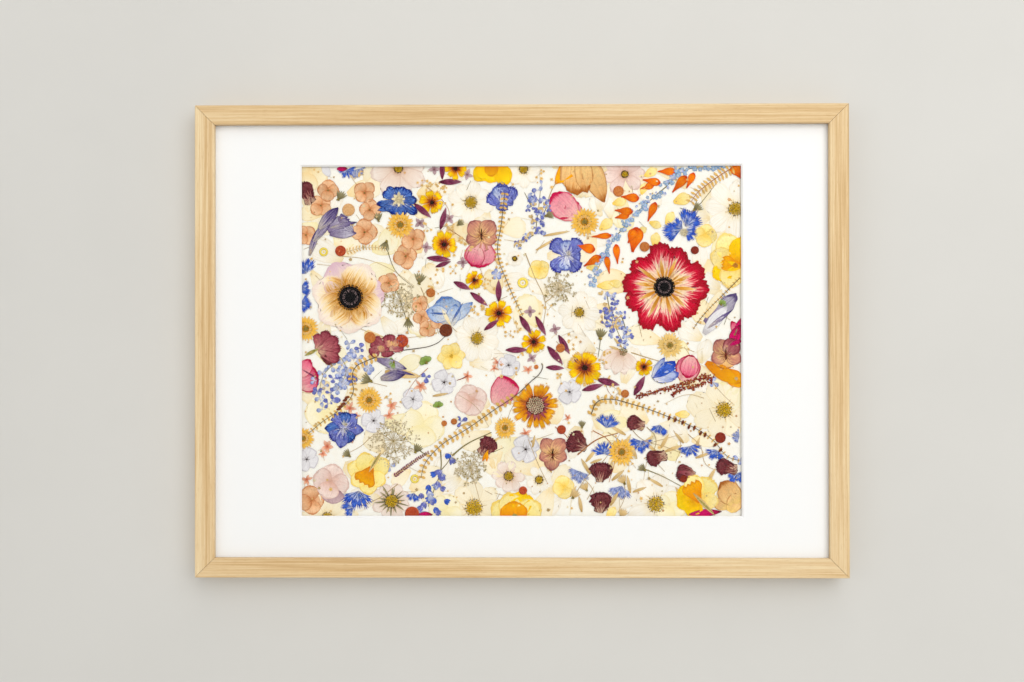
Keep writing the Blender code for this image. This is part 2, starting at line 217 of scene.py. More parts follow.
def grainFinish(name, along):
    # oak, its straight grain running along one axis
    finish, tree, shader = freshFinish(name, 0.55, 0.3)
    place = addNode(tree, "TexCoord").outputs["Object"]
    turned = moved(tree, place, turn=(0, 0 if along == "X" else math.radians(90), 0))
    grain = {}
    for layer, (lengthwise, crosswise, detail, roughness) in oakSet["layers"].items():
        pulled = moved(tree, turned, (lengthwise, crosswise, crosswise))
        grain[layer] = noise(tree, pulled, 1.0, detail, roughness)
    blend = maths(tree, "MULTIPLY", grain["slow"], oakSet["slow"])
    for layer in ("bands", "lines"):
        blend = maths(tree, "MULTIPLY_ADD", grain[layer], oakSet[layer], blend)
    wood = rampOf(tree, blend, oakSet["tones"])
    pitMask = span(tree, grain["pits"], 0, 1, 0.58, 0.7)
    pitAmount = maths(tree, "MULTIPLY", pitMask, oakSet["pits"])
    coloured = mixed(tree, pitAmount, wood, tone(oakSet["pitTone"]))
    sheen = span(tree, grain["lines"], *oakSet["sheen"])
    dress(tree, shader, coloured, sheen, pitMask, 0.25, 0.0002, invert=True)
    return finish


def mottledFinish(name, first, second, scale, rough, specular, metal=0.0, bump=0.2, shaded=True, detail=4,
                  stretch=(1, 1, 1)):
    # two colours in a cloudy mix, and a grain that stands off the surface
    finish, tree, shader = freshFinish(name, rough, specular, metal)
    place = addNode(tree, "TexCoord").outputs["Object"]
    cloud = noise(tree, moved(tree, place, stretch), scale, detail, 0.6)
    colour = rampOf(tree, cloud, [(0.35, first), (0.65, second)])
    if shaded:
        shade = addNode(tree, "Attribute", attribute_name="shade").outputs["Fac"]
        level = span(tree, shade, 0.8, 1.15)
        colour = addNode(tree, "HueSaturation", {"Value": level, "Color": colour}).outputs[0]
    dress(tree, shader, colour, span(tree, cloud, rough - 0.08, rough + 0.08), cloud, bump, 0.0003)
    return finish


# the fold keys set the painted crease shade: its pattern size, its line width and the painted lift between
# lines
petalSet = {"rough": 0.7, "specular": 0.07, "cloudScale": 210, "foldScale": 230, "foldWidth": 0.045,
            "foldLight": 0.05,
            "rim": (0.86, 0.95), "lines": (0.36, 0.66), "lineSharpness": 1.7, "saturation": 1.04}


def petalFinish(name, stops, vein=0.3, veinTint=(190, 130, 60), veins=8, mottle=0.12, streak=0.05,
                edge=0.25, edgeTint=None, radial=False, drift=0.14, side=0.0, even=0.0, creaseShade=0.09):
    # colour runs from foot (0) to tip (1) of each petal, with veins along it, a darker rim, and painted
    # shade in fine creases with a slight painted lift between them
    finish, tree, shader = freshFinish(name, petalSet["rough"], petalSet["specular"])
    uv = addNode(tree, "UVMap", uv_map="UVMap").outputs["UV"]
    split = addNode(tree, "SeparateXYZ", {"Vector": uv})
    place = addNode(tree, "TexCoord").outputs["Object"]
    cloud = noise(tree, place, petalSet["cloudScale"], 5, 0.68)
    shade = addNode(tree, "Attribute", attribute_name="shade").outputs["Fac"]
    if radial:
        centred = moved(tree, uv, (2, 2, 0), (-1, -1, 0))
        run = addNode(tree, "VectorMath", {0: centred}, operation="LENGTH").outputs["Value"]
        fibre = noise(tree, centred, 5, 2)
        rimRun = run
    else:
        run = split.outputs["Y"]
        drawn = moved(tree, uv, (veins * 2.4, 1.5, 1))
        apart = addNode(tree, "CombineXYZ", {"Z": maths(tree, "MULTIPLY", shade, 40.0)}).outputs[0]
        drawn = addNode(tree, "VectorMath", {0: drawn, 1: apart}, operation="ADD").outputs[0]
        fibre = noise(tree, drawn, 1.0, 4, 0.55)
        aside = maths(tree, "ABSOLUTE", maths(tree, "SUBTRACT", split.outputs["X"], 0.5))
        twice = maths(tree, "MULTIPLY", aside, 2.0)
        rimRun = maths(tree, "MAXIMUM", twice, run)
    lines = span(tree, fibre, 0, 1, *petalSet["lines"])
    if side:
        run = maths(tree, "MULTIPLY_ADD", twice, side, run)
    level = maths(tree, "SUBTRACT", maths(tree, "MULTIPLY_ADD", cloud, drift * 2, run), drift)
    level = maths(tree, "SUBTRACT", maths(tree, "MULTIPLY_ADD", lines, streak * 2, level), streak)
    colour = rampOf(tree, level, stops)
    veinAmount = maths(tree, "MULTIPLY", maths(tree, "POWER", lines, petalSet["lineSharpness"]), vein)
    colour = mixed(tree, veinAmount, colour, tone(veinTint))
    colour = mixed(tree, span(tree, rimRun, 0, edge, *petalSet["rim"]), colour, tone(edgeTint or veinTint))
    spread = maths(tree, "MULTIPLY_ADD", cloud, mottle * 8, shade)
    light = span(tree, spread, 0.86 + even, 1.1 - even * 0.4, mottle * 4, mottle * 4 + 1, clamp=False)
    # painted crease shade: thin dark lines along fine folds, and a slight painted lift between them
    folds = noise(tree, place, petalSet["foldScale"], 2.5)
    offFold = maths(tree, "ABSOLUTE", maths(tree, "SUBTRACT", folds, 0.5))
    creaseShadeShare = max(0, 1 - even * 8)  # pale petals get less painted crease shade
    creaseShading = span(tree, offFold, -creaseShade * creaseShadeShare, petalSet["foldLight"] * creaseShadeShare, 0, petalSet["foldWidth"])
    light = maths(tree, "ADD", light, creaseShading)
    colour = addNode(tree, "HueSaturation", {"Value": light, "Color": colour,
                                             "Saturation": petalSet["saturation"]}).outputs[0]
    sheen = span(tree, cloud, petalSet["rough"] - 0.1, petalSet["rough"] + 0.1)
    dress(tree, shader, colour, sheen, lines, 0.3, 0.0002)
    return finish


# frame, mat, boards and fittings keep their CAD shapes and take new finishes
oakAcross = grainFinish("oak_across", "X")
oakUpright = grainFinish("oak_upright", "Z")
matPaper = mottledFinish("mat_paper", (252, 252, 253), (254, 254, 255), 900, 0.85, 0.15, shaded=False,
                         bump=0.06)
flowerPaper = mottledFinish("flower_paper", (253, 248, 236), (254, 252, 245), 160, 0.85, 0.15, shaded=False,
                            bump=0.1)
hardboard = mottledFinish("hardboard", (128, 88, 54), (164, 120, 80), 420, 0.75, 0.2, shaded=False,
                          bump=0.35, detail=8)
plating = mottledFinish("zinc_plating", (176, 178, 180), (208, 210, 212), 260, 0.34, 0.5, metal=1.0,
                        shaded=False, bump=0.05, stretch=(1, 1, 6))
clearGlass = freshFinish("clear_glass", 0.0, 0.03)[0]
glassShader = clearGlass.node_tree.nodes["Principled BSDF"]
glassShader.inputs["Transmission Weight"].default_value = 1.0
glassShader.inputs["IOR"].default_value = 1.49
glassShader.inputs["Specular Tint"].default_value = (0.3, 0.3, 0.3, 1)
glassShader.inputs["Base Color"].default_value = (0.985, 0.995, 0.99, 1)

finishOf = {"oak": oakAcross, "glass": clearGlass, "mat": matPaper, "fibreboard": hardboard,
            "board": flowerPaper, "steel": plating}
for nodeName, node in nodes.items():
    slotName = node.data.materials[0].name.split(".")[0]
    if slotName in finishOf:
        upright = nodeName in ("rail_left", "rail_right")
        node.material_slots[0].material = oakUpright if upright else finishOf[slotName]
nodes["glazing"].visible_shadow = False
nodes["glazing"].visible_diffuse = False
print("frame finishes are on")

# the wall the frame hangs on is seen from its front only, and a pale floor lies below
wallSet = {"wide": 7.0, "high": 4.4, "gap": 0.0006, "drop": 1.35}
bpy.ops.object.select_all(action="DESELECT")
wallMiddle = centreZ - wallSet["drop"] + wallSet["high"] / 2
bpy.ops.mesh.primitive_plane_add(size=1, location=(centreX, highCorner.y + wallSet["gap"], wallMiddle),
                                 rotation=(math.radians(90), 0, 0))
wall = bpy.context.object
wall.name = "wall"
wall.scale = (wallSet["wide"], wallSet["high"], 1)
bpy.ops.object.transform_apply(location=False, rotation=True, scale=True)
wallPaint = mottledFinish("wall_paint", (215, 214, 210), (218, 217, 213), 3, 0.9, 0.1, shaded=False,
                          bump=0.02)
wallTree = wallPaint.node_tree
seeThrough = addNode(wallTree, "BsdfTransparent")
behind = addNode(wallTree, "NewGeometry")
oneSided = addNode(wallTree, "MixShader", {0: behind.outputs["Backfacing"],
                                           1: wallTree.nodes["Principled BSDF"].outputs[0],
                                           2: seeThrough.outputs[0]})
wallTree.links.new(oneSided.outputs[0], wallTree.nodes["Material Output"].inputs["Surface"])
wall.data.materials.append(wallPaint)
wall.visible_shadow = False  # light still reaches the frame's back
wall.visible_diffuse = False
bpy.ops.mesh.primitive_plane_add(size=9, location=(centreX, 0, centreZ - wallSet["drop"]))
floor = bpy.context.object
floor.name = "floor"
floor.data.materials.append(mottledFinish("floor_paint", (214, 212, 207), (218, 216, 211), 4, 0.85, 0.15,
                                          shaded=False, bump=0.02))

petalPaints = {
    # colours from foot to tip, veins, rim, how cloudy, streaky and even it is, and how much painted shade
    # lies in its creases
    "cream": dict(stops=[(0, (250, 224, 172)), (0.3, (253, 240, 210)), (1, (253, 244, 222))], vein=0.45,
        veinTint=(246, 226, 184), veins=7, edge=0.45, edgeTint=(245, 226, 184), mottle=0.14, streak=0.12,
        even=0.11),
    "warmCream": dict(stops=[(0, (250, 220, 164)), (0.5, (252, 237, 200)), (1, (253, 242, 214))],
        vein=0.3, veinTint=(244, 216, 158), edge=0.6, edgeTint=(240, 210, 156), even=0.11),
    "white": dict(stops=[(0, (244, 220, 170)), (0.22, (252, 240, 214)), (0.5, (255, 250, 240)),
        (1, (253, 247, 236))], vein=0.55, veinTint=(238, 222, 192), veins=8, edge=0.4,
        edgeTint=(240, 226, 202), mottle=0.12, streak=0.14, even=0.11),
    "blushWhite": dict(stops=[(0, (190, 140, 110)), (0.3, (238, 214, 196)), (1, (252, 242, 233))],
        vein=0.45, veinTint=(222, 186, 168), edge=0.55, edgeTint=(216, 184, 166), even=0.11),
    "lemon": dict(stops=[(0, (255, 214, 96)), (0.4, (255, 234, 146)), (1, (255, 240, 176))], vein=0.45,
        veinTint=(252, 218, 120), veins=10, edge=0.85, edgeTint=(248, 210, 104), even=0.04),
    "paleYellow": dict(stops=[(0, (252, 206, 96)), (0.5, (255, 230, 150)), (1, (255, 238, 182))],
        vein=0.4, veinTint=(250, 212, 110), veins=9, edge=0.7, edgeTint=(246, 208, 110)),
    "creamYellow": dict(stops=[(0, (251, 236, 182)), (0.5, (253, 244, 212)), (1, (254, 246, 222))],
        vein=0.3, veinTint=(248, 230, 170), edge=0.6, edgeTint=(244, 224, 164), even=0.11),
    "yellow": dict(stops=[(0, (240, 156, 18)), (0.3, (252, 194, 36)), (0.8, (255, 218, 66)),
        (1, (255, 212, 58))], vein=0.5, veinTint=(244, 180, 32), veins=10, edge=0.6,
        edgeTint=(248, 188, 40), mottle=0.25),
    "coreopsis": dict(stops=[(0.1, (70, 20, 4)), (0.22, (190, 96, 10)), (0.5, (236, 156, 18)),
        (0.63, (255, 212, 34)), (1, (255, 226, 66))], vein=0.6, veinTint=(206, 104, 10), veins=4,
        edge=0.6, edgeTint=(226, 156, 20), mottle=0.2, streak=0.16),
    "straw": dict(stops=[(0, (196, 120, 30)), (0.36, (232, 156, 48)), (0.66, (250, 194, 84)),
        (1, (254, 226, 144))], vein=0.5, veinTint=(216, 136, 40), veins=3, edge=0.55,
        edgeTint=(226, 156, 60), mottle=0.16, even=0.04),
    "paleStraw": dict(stops=[(0, (150, 100, 50)), (0.4, (232, 184, 100)), (1, (250, 220, 150))], vein=0.2,
        veinTint=(206, 150, 70), veins=5, edge=0.3, edgeTint=(214, 164, 90)),
    "peach": dict(stops=[(0, (196, 120, 76)), (0.22, (230, 170, 124)), (0.7, (243, 200, 160)),
        (1, (228, 166, 120))], vein=0.5, veinTint=(208, 140, 98), veins=9, edge=0.9,
        edgeTint=(204, 134, 92), mottle=0.25, streak=0.12),
    "lilacGrey": dict(stops=[(0, (190, 184, 184)), (0.25, (234, 231, 232)), (1, (241, 238, 240))],
        vein=0.6, veinTint=(200, 194, 202), veins=8, edge=0.8, edgeTint=(196, 190, 196), mottle=0.2,
        even=0.08),
    "blushDisc": dict(stops=[(0, (216, 168, 148)), (0.4, (238, 210, 200)), (1, (247, 230, 220))],
        vein=0.55, veinTint=(222, 182, 170), veins=9, edge=0.7, edgeTint=(214, 176, 164), mottle=0.3,
        even=0.06),
    "burgundy": dict(stops=[(0, (92, 22, 48)), (0.25, (156, 78, 108)), (0.55, (120, 40, 74)),
        (0.8, (168, 104, 128)), (1, (190, 130, 142))], vein=0.85, veinTint=(72, 10, 42), veins=4,
        edge=0.6, edgeTint=(160, 100, 118), mottle=0.45, streak=0.32, creaseShade=0.28),
    "maroon": dict(stops=[(0, (222, 188, 160)), (0.16, (166, 106, 98)), (0.45, (98, 32, 42)),
        (0.8, (142, 78, 80)), (1, (82, 24, 36))], vein=0.75, veinTint=(52, 10, 22), veins=6, edge=0.75,
        edgeTint=(96, 38, 48), mottle=0.35, streak=0.26, creaseShade=0.28),
    "mauveMaroon": dict(stops=[(0, (216, 176, 148)), (0.25, (188, 116, 116)), (0.7, (166, 84, 94)),
        (1, (148, 66, 78))], vein=0.6, veinTint=(116, 42, 56), veins=6, edge=0.8, edgeTint=(110, 38, 52),
        mottle=0.25, streak=0.16, creaseShade=0.28),
    "crimson": dict(stops=[(0.18, (238, 190, 110)), (0.4, (252, 226, 176)), (0.54, (254, 234, 206)),
        (0.66, (244, 150, 150)), (0.76, (216, 34, 64)), (1, (172, 4, 34))], vein=0.5,
        veinTint=(196, 30, 56), veins=9, edge=0.45, edgeTint=(140, 0, 26), mottle=0.2, streak=0.16,
        drift=0.12, side=0.16, creaseShade=0.16),
    "rib": dict(stops=[(0, (196, 122, 40)), (0.5, (224, 160, 78)), (0.85, (242, 202, 134)),
        (1, (252, 228, 190))], vein=0.4, veinTint=(190, 118, 44), veins=2, edge=0.0, streak=0.12),
    "anemoneBlush": dict(stops=[(0.3, (200, 132, 50)), (0.4, (232, 180, 104)), (0.58, (250, 222, 168)),
        (0.8, (253, 241, 222)), (1, (250, 234, 224))], vein=0.45, veinTint=(240, 206, 176), veins=14,
        edge=0.35, edgeTint=(234, 210, 200), streak=0.16, even=0.1, drift=0.1),
    "anemoneMauve": dict(stops=[(0.3, (206, 140, 66)), (0.42, (236, 192, 130)), (0.58, (248, 222, 200)),
        (0.82, (236, 206, 212)), (1, (228, 194, 206))], vein=0.45, veinTint=(222, 180, 190), veins=14,
        edge=0.35, edgeTint=(216, 178, 192), streak=0.16, even=0.1, drift=0.1),
    "halo": dict(stops=[(0, (156, 96, 30)), (0.35, (216, 156, 76)), (1, (248, 216, 156))], vein=0.3,
        veinTint=(176, 110, 44), veins=2),
    "calendula": dict(stops=[(0, (200, 60, 14)), (0.3, (232, 104, 20)), (0.7, (246, 136, 34)),
        (1, (222, 80, 16))], vein=0.55, veinTint=(204, 66, 14), veins=5, edge=0.85,
        edgeTint=(196, 52, 10), mottle=0.2),
    "forget": dict(stops=[(0, (242, 222, 170)), (0.3, (180, 202, 224)), (1, (128, 166, 214))], vein=0.5,
        veinTint=(92, 112, 150), edge=0.5, edgeTint=(84, 110, 172), mottle=0.35, radial=True),
    "deepBlue": dict(stops=[(0, (230, 222, 200)), (0.12, (140, 162, 212)), (0.32, (36, 72, 172)),
        (0.56, (120, 158, 220)), (0.8, (44, 82, 178)), (1, (12, 40, 130))], vein=0.8,
        veinTint=(14, 34, 112), veins=7, edge=0.9, edgeTint=(8, 26, 104), mottle=0.45, streak=0.36,
        creaseShade=0.28),
    "blue": dict(stops=[(0, (140, 150, 206)), (0.3, (60, 96, 204)), (0.7, (96, 132, 226)),
        (1, (52, 86, 204))], vein=0.65, veinTint=(26, 48, 150), veins=4, edge=0.6, edgeTint=(30, 54, 164),
        mottle=0.25, streak=0.2, creaseShade=0.28),
    "violetBlue": dict(stops=[(0, (220, 218, 230)), (0.2, (150, 156, 214)), (0.45, (92, 98, 188)),
        (0.7, (160, 170, 224)), (1, (84, 92, 184))], vein=0.8, veinTint=(50, 48, 138), veins=7, edge=0.85,
        edgeTint=(46, 46, 136), mottle=0.45, streak=0.34, creaseShade=0.28),
    "paleBlue": dict(stops=[(0, (214, 206, 196)), (0.35, (190, 204, 224)), (0.7, (150, 178, 220)),
        (1, (104, 142, 204))], vein=0.6, veinTint=(222, 216, 208), veins=6, edge=0.8,
        edgeTint=(80, 116, 186), mottle=0.35, streak=0.3, creaseShade=0.28),
    "lavender": dict(stops=[(0, (238, 234, 236)), (0.4, (200, 206, 230)), (0.8, (166, 180, 222)),
        (1, (114, 130, 200))], vein=0.55, veinTint=(88, 98, 168), veins=4, edge=0.9,
        edgeTint=(74, 88, 168), mottle=0.3, streak=0.2),
    "rose": dict(stops=[(0, (246, 200, 188)), (0.35, (243, 172, 176)), (0.82, (240, 156, 168)),
        (0.9, (214, 46, 92)), (1, (180, 0, 52))], vein=0.5, veinTint=(228, 110, 136), veins=11, edge=0.75,
        edgeTint=(200, 24, 78), mottle=0.2, drift=0.05, creaseShade=0.16),
    "pink": dict(stops=[(0, (246, 200, 190)), (0.45, (240, 154, 166)), (0.85, (226, 106, 134)),
        (1, (180, 20, 66))], vein=0.45, veinTint=(212, 76, 112), veins=10, edge=0.85,
        edgeTint=(176, 14, 62), mottle=0.25, streak=0.1, creaseShade=0.16),
    "pansy": dict(stops=[(0, (236, 188, 120)), (0.3, (232, 184, 138)), (0.6, (206, 144, 118)),
        (0.85, (206, 144, 126)), (1, (160, 100, 98))], vein=0.65, veinTint=(156, 90, 84), veins=8,
        edge=0.65, edgeTint=(140, 78, 80), mottle=0.35, streak=0.24),
    "tulip": dict(stops=[(0, (252, 214, 130)), (0.4, (246, 206, 144)), (0.8, (238, 186, 124)),
        (0.92, (196, 128, 70)), (1, (140, 76, 36))], vein=0.4, veinTint=(208, 136, 74), veins=14,
        edge=0.6, edgeTint=(170, 100, 50), mottle=0.2, streak=0.08),
    "magenta": dict(stops=[(0, (196, 60, 110)), (0.5, (212, 36, 104)), (1, (140, 6, 54))], vein=0.5,
        veinTint=(120, 8, 50), veins=5, edge=0.9, edgeTint=(90, 4, 36), mottle=0.2, creaseShade=0.16),
    "pea": dict(stops=[(0, (126, 106, 140)), (0.3, (180, 170, 192)), (0.7, (212, 206, 216)),
        (1, (144, 130, 166))], vein=0.85, veinTint=(92, 76, 122), veins=9, edge=0.9,
        edgeTint=(84, 68, 116), mottle=0.35, streak=0.28, creaseShade=0.28),
    "greenLeaf": dict(stops=[(0, (110, 132, 56)), (0.5, (140, 164, 82)), (1, (168, 190, 116))], vein=0.4,
        veinTint=(86, 108, 44), veins=3, edge=0.6, edgeTint=(92, 112, 50)),
    "orange": dict(stops=[(0, (226, 130, 24)), (0.5, (244, 160, 30)), (1, (250, 186, 44))], vein=0.45,
        veinTint=(220, 120, 20), veins=9, edge=0.6, edgeTint=(216, 116, 20), mottle=0.2),
    "blanket": dict(stops=[(0.2, (130, 56, 60)), (0.38, (166, 84, 62)), (0.52, (222, 136, 44)),
        (0.74, (250, 180, 44)), (1, (255, 218, 96))], vein=0.7, veinTint=(176, 84, 30), veins=5, edge=0.6,
        edgeTint=(206, 122, 30), mottle=0.35, streak=0.24, side=-0.1),
    "leaflet": dict(stops=[(0, (206, 156, 84)), (0.5, (228, 184, 110)), (1, (232, 192, 126))], vein=0.2,
        veinTint=(180, 124, 50), veins=3, edge=0.4, edgeTint=(196, 144, 70)),
    "mauve": dict(stops=[(0, (120, 80, 90)), (0.4, (186, 156, 160)), (1, (206, 180, 180))], vein=0.4,
        veinTint=(140, 96, 110), veins=4, edge=0.4, edgeTint=(150, 110, 120)),
    "coral": dict(stops=[(0, (190, 84, 60)), (0.4, (236, 170, 140)), (1, (248, 216, 194))], vein=0.4,
        veinTint=(214, 120, 92), veins=3, edge=0.45, edgeTint=(222, 146, 116), mottle=0.3),
    "gold": dict(stops=[(0, (196, 140, 70)), (0.5, (236, 196, 130)), (1, (242, 212, 156))], vein=0.2,
        veinTint=(190, 136, 70), edge=0.4, edgeTint=(206, 156, 90), radial=True),
    "sweetPea": dict(stops=[(0, (206, 192, 176)), (0.3, (176, 164, 186)), (0.65, (104, 88, 138)),
        (1, (50, 36, 86))], vein=0.8, veinTint=(58, 44, 98), veins=8, edge=0.8, edgeTint=(52, 40, 92),
        mottle=0.4, streak=0.34, creaseShade=0.28),
    "sepal": dict(stops=[(0, (104, 94, 62)), (0.5, (140, 130, 96)), (1, (176, 166, 128))], vein=0.5,
        veinTint=(86, 80, 54), veins=3, edge=0.3, edgeTint=(100, 92, 66)),
    "tanLeaf": dict(stops=[(0, (196, 160, 104)), (0.5, (224, 192, 138)), (1, (234, 206, 156))], vein=0.3,
        veinTint=(180, 140, 80), veins=4, edge=0.4, edgeTint=(190, 150, 90)),
}
paint = {key: petalFinish("petal_" + key, **facts) for key, facts in petalPaints.items()}
beadPaints = {
    "goldBead": ((182, 138, 10), (244, 202, 36)), "darkBead": ((30, 18, 12), (66, 38, 20)),
    "blackBead": ((6, 4, 6), (22, 16, 20)), "oliveBead": ((120, 104, 46), (166, 146, 74)),
    "creamBead": ((214, 196, 150), (240, 226, 190)), "tanStem": ((176, 146, 98), (206, 178, 130)),
    "oliveStem": ((110, 100, 60), (146, 132, 84)), "darkStem": ((56, 46, 38), (104, 90, 76)),
    "brownDisc": ((92, 40, 22), (134, 70, 42)), "redDisc": ((150, 50, 30), (194, 86, 50)),
    "tanDisc": ((196, 144, 90), (222, 176, 126)), "orangeDisc": ((180, 94, 44), (212, 134, 70)),
    "wineDisc": ((116, 34, 24), (150, 60, 40)), "umbelTan": ((176, 154, 116), (226, 212, 180)),
    "ashBead": ((128, 100, 104), (196, 168, 166)), "amaranth": ((112, 24, 28), (176, 70, 50)),
    "greenStalk": ((134, 122, 56), (190, 178, 106)), "crimsonRim": ((186, 10, 60), (206, 40, 84)),
    "yellowRing": ((250, 214, 60), (255, 236, 130)), "rustStem": ((160, 92, 40), (196, 124, 60)),
}
for key, (first, second) in beadPaints.items():
    paint[key] = mottledFinish("grain_" + key, first, second, 700, 0.75, 0.06)
print("petal finishes are mixed:", len(paint))


# masters: each shape is modelled once here and copied later
def clearSelection():
    if bpy.context.object and bpy.context.object.mode != "OBJECT":
        bpy.ops.object.mode_set(mode="OBJECT")
    bpy.ops.object.select_all(action="DESELECT")


def pick(numbers):
    # selects these vertices of the mesh in edit mode
    sheet = bmesh.from_edit_mesh(bpy.context.object.data)
    sheet.verts.ensure_lookup_table()
    for vert in sheet.verts:
        vert.select = vert.index in numbers
    sheet.select_flush_mode()
    bmesh.update_edit_mesh(bpy.context.object.data)


def shelve(master, name):
    # a master leaves the scene, and only its copies are seen
    master.name = name
    for holder in list(master.users_collection):
        holder.objects.unlink(master)
    masters.append(master)
    return master


sheetSet = {"petal": 0.07, "floret": 0.16, "floretDip": 0.15}  # thicknesses, beside a length or radius of 1


def thicken(thing, thickness):
    shell = thing.modifiers.new("thickness", "SOLIDIFY")
    shell.thickness = thickness
    shell.offset = 0
    bpy.ops.object.modifier_apply(modifier=shell.name)


def petalMaster(name, widths, columns=6, teeth=(), ridge=0.05, cup=0.04, rough=0.012, lift=0.05, seed=1,
                rounding=0.14):
    # a flat petal one long and one wide, its foot at the origin and its tip up
    clearSelection()
    rows = len(widths) - 1
    bpy.ops.mesh.primitive_grid_add(x_subdivisions=columns, y_subdivisions=rows, size=1,
                                    location=(0, 0.5, 0))
    bpy.ops.object.transform_apply(location=True)
    petal = bpy.context.object
    bpy.ops.object.mode_set(mode="EDIT")
    bpy.context.tool_settings.mesh_select_mode = (True, False, False)
    across = columns + 1
    for row, width in enumerate(widths):
        pick(range(row * across, (row + 1) * across))
        bpy.ops.transform.resize(value=(width, 1, 1), center_override=(0, row / rows, 0))
    for back, share in ((0, 1.0), (1, 0.6), (2, 0.25)):  # rounds the tip
        for column in range(columns // 2):
            drop = rounding * share * abs(2 * column / columns - 1) ** 2.2
            pick([(rows - back) * across + column, (rows - back) * across + columns - column])
            bpy.ops.transform.translate(value=(0, -drop, 0))
    for column, tooth in enumerate(teeth):
        pick([rows * across + column])
        bpy.ops.transform.translate(value=(0, tooth, 0))
        pick([(rows - 1) * across + column])
        bpy.ops.transform.translate(value=(0, tooth * 0.35, 0))
    pick([row * across + column for row in range(1, rows + 1) for column in range(1, across, 2)])
    bpy.ops.transform.translate(value=(0, 0, ridge))
    pick([row * across + column for row in range(2, rows + 1) for column in (0, columns)])
    bpy.ops.transform.translate(value=(0, 0, cup))
    pick(range(across, (rows + 1) * across))
    bpy.ops.transform.vertex_random(offset=rough, uniform=1.0, normal=0.0, seed=seed)
    bpy.ops.transform.vertex_random(offset=lift, uniform=0.0, normal=1.0, seed=seed + 5)
    bpy.ops.object.mode_set(mode="OBJECT")
    thicken(petal, sheetSet["petal"])
    bpy.ops.object.shade_smooth_by_angle(angle=math.radians(40))
    return shelve(petal, name)


petalShapes = {
    "broad": dict(widths=[0.18, 0.45, 0.72, 0.9, 1.0, 0.98, 0.84, 0.5]),
    "broadB": dict(widths=[0.2, 0.42, 0.66, 0.88, 1.0, 1.0, 0.88, 0.56],
        teeth=(0, -0.01, 0.01, -0.02, 0.01, 0.0, -0.01), seed=8),
    "round": dict(widths=[0.34, 0.7, 0.9, 1.0, 1.0, 0.94, 0.8, 0.5], columns=8, rounding=0.12),
    "slim": dict(widths=[0.15, 0.55, 0.85, 1.0, 0.95, 0.75, 0.45, 0.08], columns=4, rough=0.006,
        rounding=0),
    "strap": dict(widths=[0.22, 0.46, 0.66, 0.82, 0.94, 1.0, 0.97, 0.78],
        teeth=(-0.01, 0.0, 0.02, -0.02, 0.02, 0.0, -0.01)),
    "wedge": dict(widths=[0.14, 0.3, 0.46, 0.62, 0.82, 0.98, 1.0, 0.9], columns=8,
        teeth=(-0.05, 0.05, -0.08, 0.04, -0.08, 0.05, -0.08, 0.05, -0.05), rounding=0.06),
    "needle": dict(widths=[0.4, 0.9, 1.0, 0.8, 0.08], columns=2, rough=0.0, lift=0.03, rounding=0),
    "drop": dict(widths=[0.08, 0.22, 0.44, 0.7, 0.92, 1.0, 0.88, 0.42], columns=6, rough=0.014,
        rounding=0.06),
    "oval": dict(widths=[0.1, 0.66, 1.0, 0.92, 0.44], columns=2, rough=0.0, lift=0.03, ridge=0.03,
        rounding=0.08),
    "ruffle": dict(widths=[0.24, 0.34, 0.46, 0.58, 0.7, 0.82, 0.93, 1.0, 0.96, 0.8], columns=16,
        teeth=(-0.25, -0.13, -0.05, -0.02, 0.0, -0.02, 0.01, 0.02, 0.02, 0.01, -0.02, 0.01, 0.0, -0.03,
               -0.07, -0.14, -0.26),
        rough=0.009, lift=0.12, rounding=0.07),
    "ruffleB": dict(widths=[0.22, 0.34, 0.47, 0.6, 0.74, 0.88, 0.97, 1.0, 0.92, 0.74], columns=16,
        teeth=(-0.26, -0.14, -0.06, -0.02, 0.01, 0.02, -0.02, 0.01, 0.02, 0.01, 0.0, -0.03, 0.0, -0.01,
               -0.05, -0.12, -0.25),
        rough=0.011, lift=0.12, rounding=0.08, seed=21),
    "square": dict(widths=[0.3, 0.62, 0.84, 0.96, 1.0, 1.0, 0.98, 0.82], rounding=0.1),
    "tongue": dict(widths=[0.3, 0.6, 0.84, 1.0, 0.98, 0.84, 0.56, 0.14], rounding=0.05),
    "cup": dict(widths=[0.3, 0.66, 0.9, 1.0, 1.0, 0.94, 0.8, 0.56],
        teeth=(0, -0.01, 0.02, -0.02, 0.02, -0.02, -0.01), lift=0.1, seed=4),
    "wavy": dict(widths=[0.24, 0.5, 0.7, 0.86, 1.0, 0.96, 0.96, 0.66], columns=8,
        teeth=(-0.02, 0.03, -0.06, 0.04, -0.03, 0.04, -0.06, 0.03, -0.02), rough=0.045, lift=0.14,
        rounding=0.12, seed=12),
    "flare": dict(widths=[0.2, 0.36, 0.56, 0.76, 0.92, 1.0, 0.96, 0.7], columns=8,
        teeth=(-0.06, 0.02, -0.08, 0.04, -0.02, -0.08, 0.03, -0.05, -0.06), rough=0.02, lift=0.1,
        rounding=0.08, seed=31),
    "fringe": dict(widths=[0.16, 0.26, 0.48, 0.8, 1.0], columns=4,
        teeth=(-0.02, -0.26, 0.04, -0.26, -0.02), rough=0.01, lift=0.06, cup=0.04, rounding=0),
    "speck": dict(widths=[0.3, 0.9, 1.0, 0.5], columns=2, rough=0.0, lift=0.03, ridge=0.03, rounding=0.06),
}
petal = {}
for key, shape in petalShapes.items():
    petal[key] = petalMaster("master_" + key, **shape)

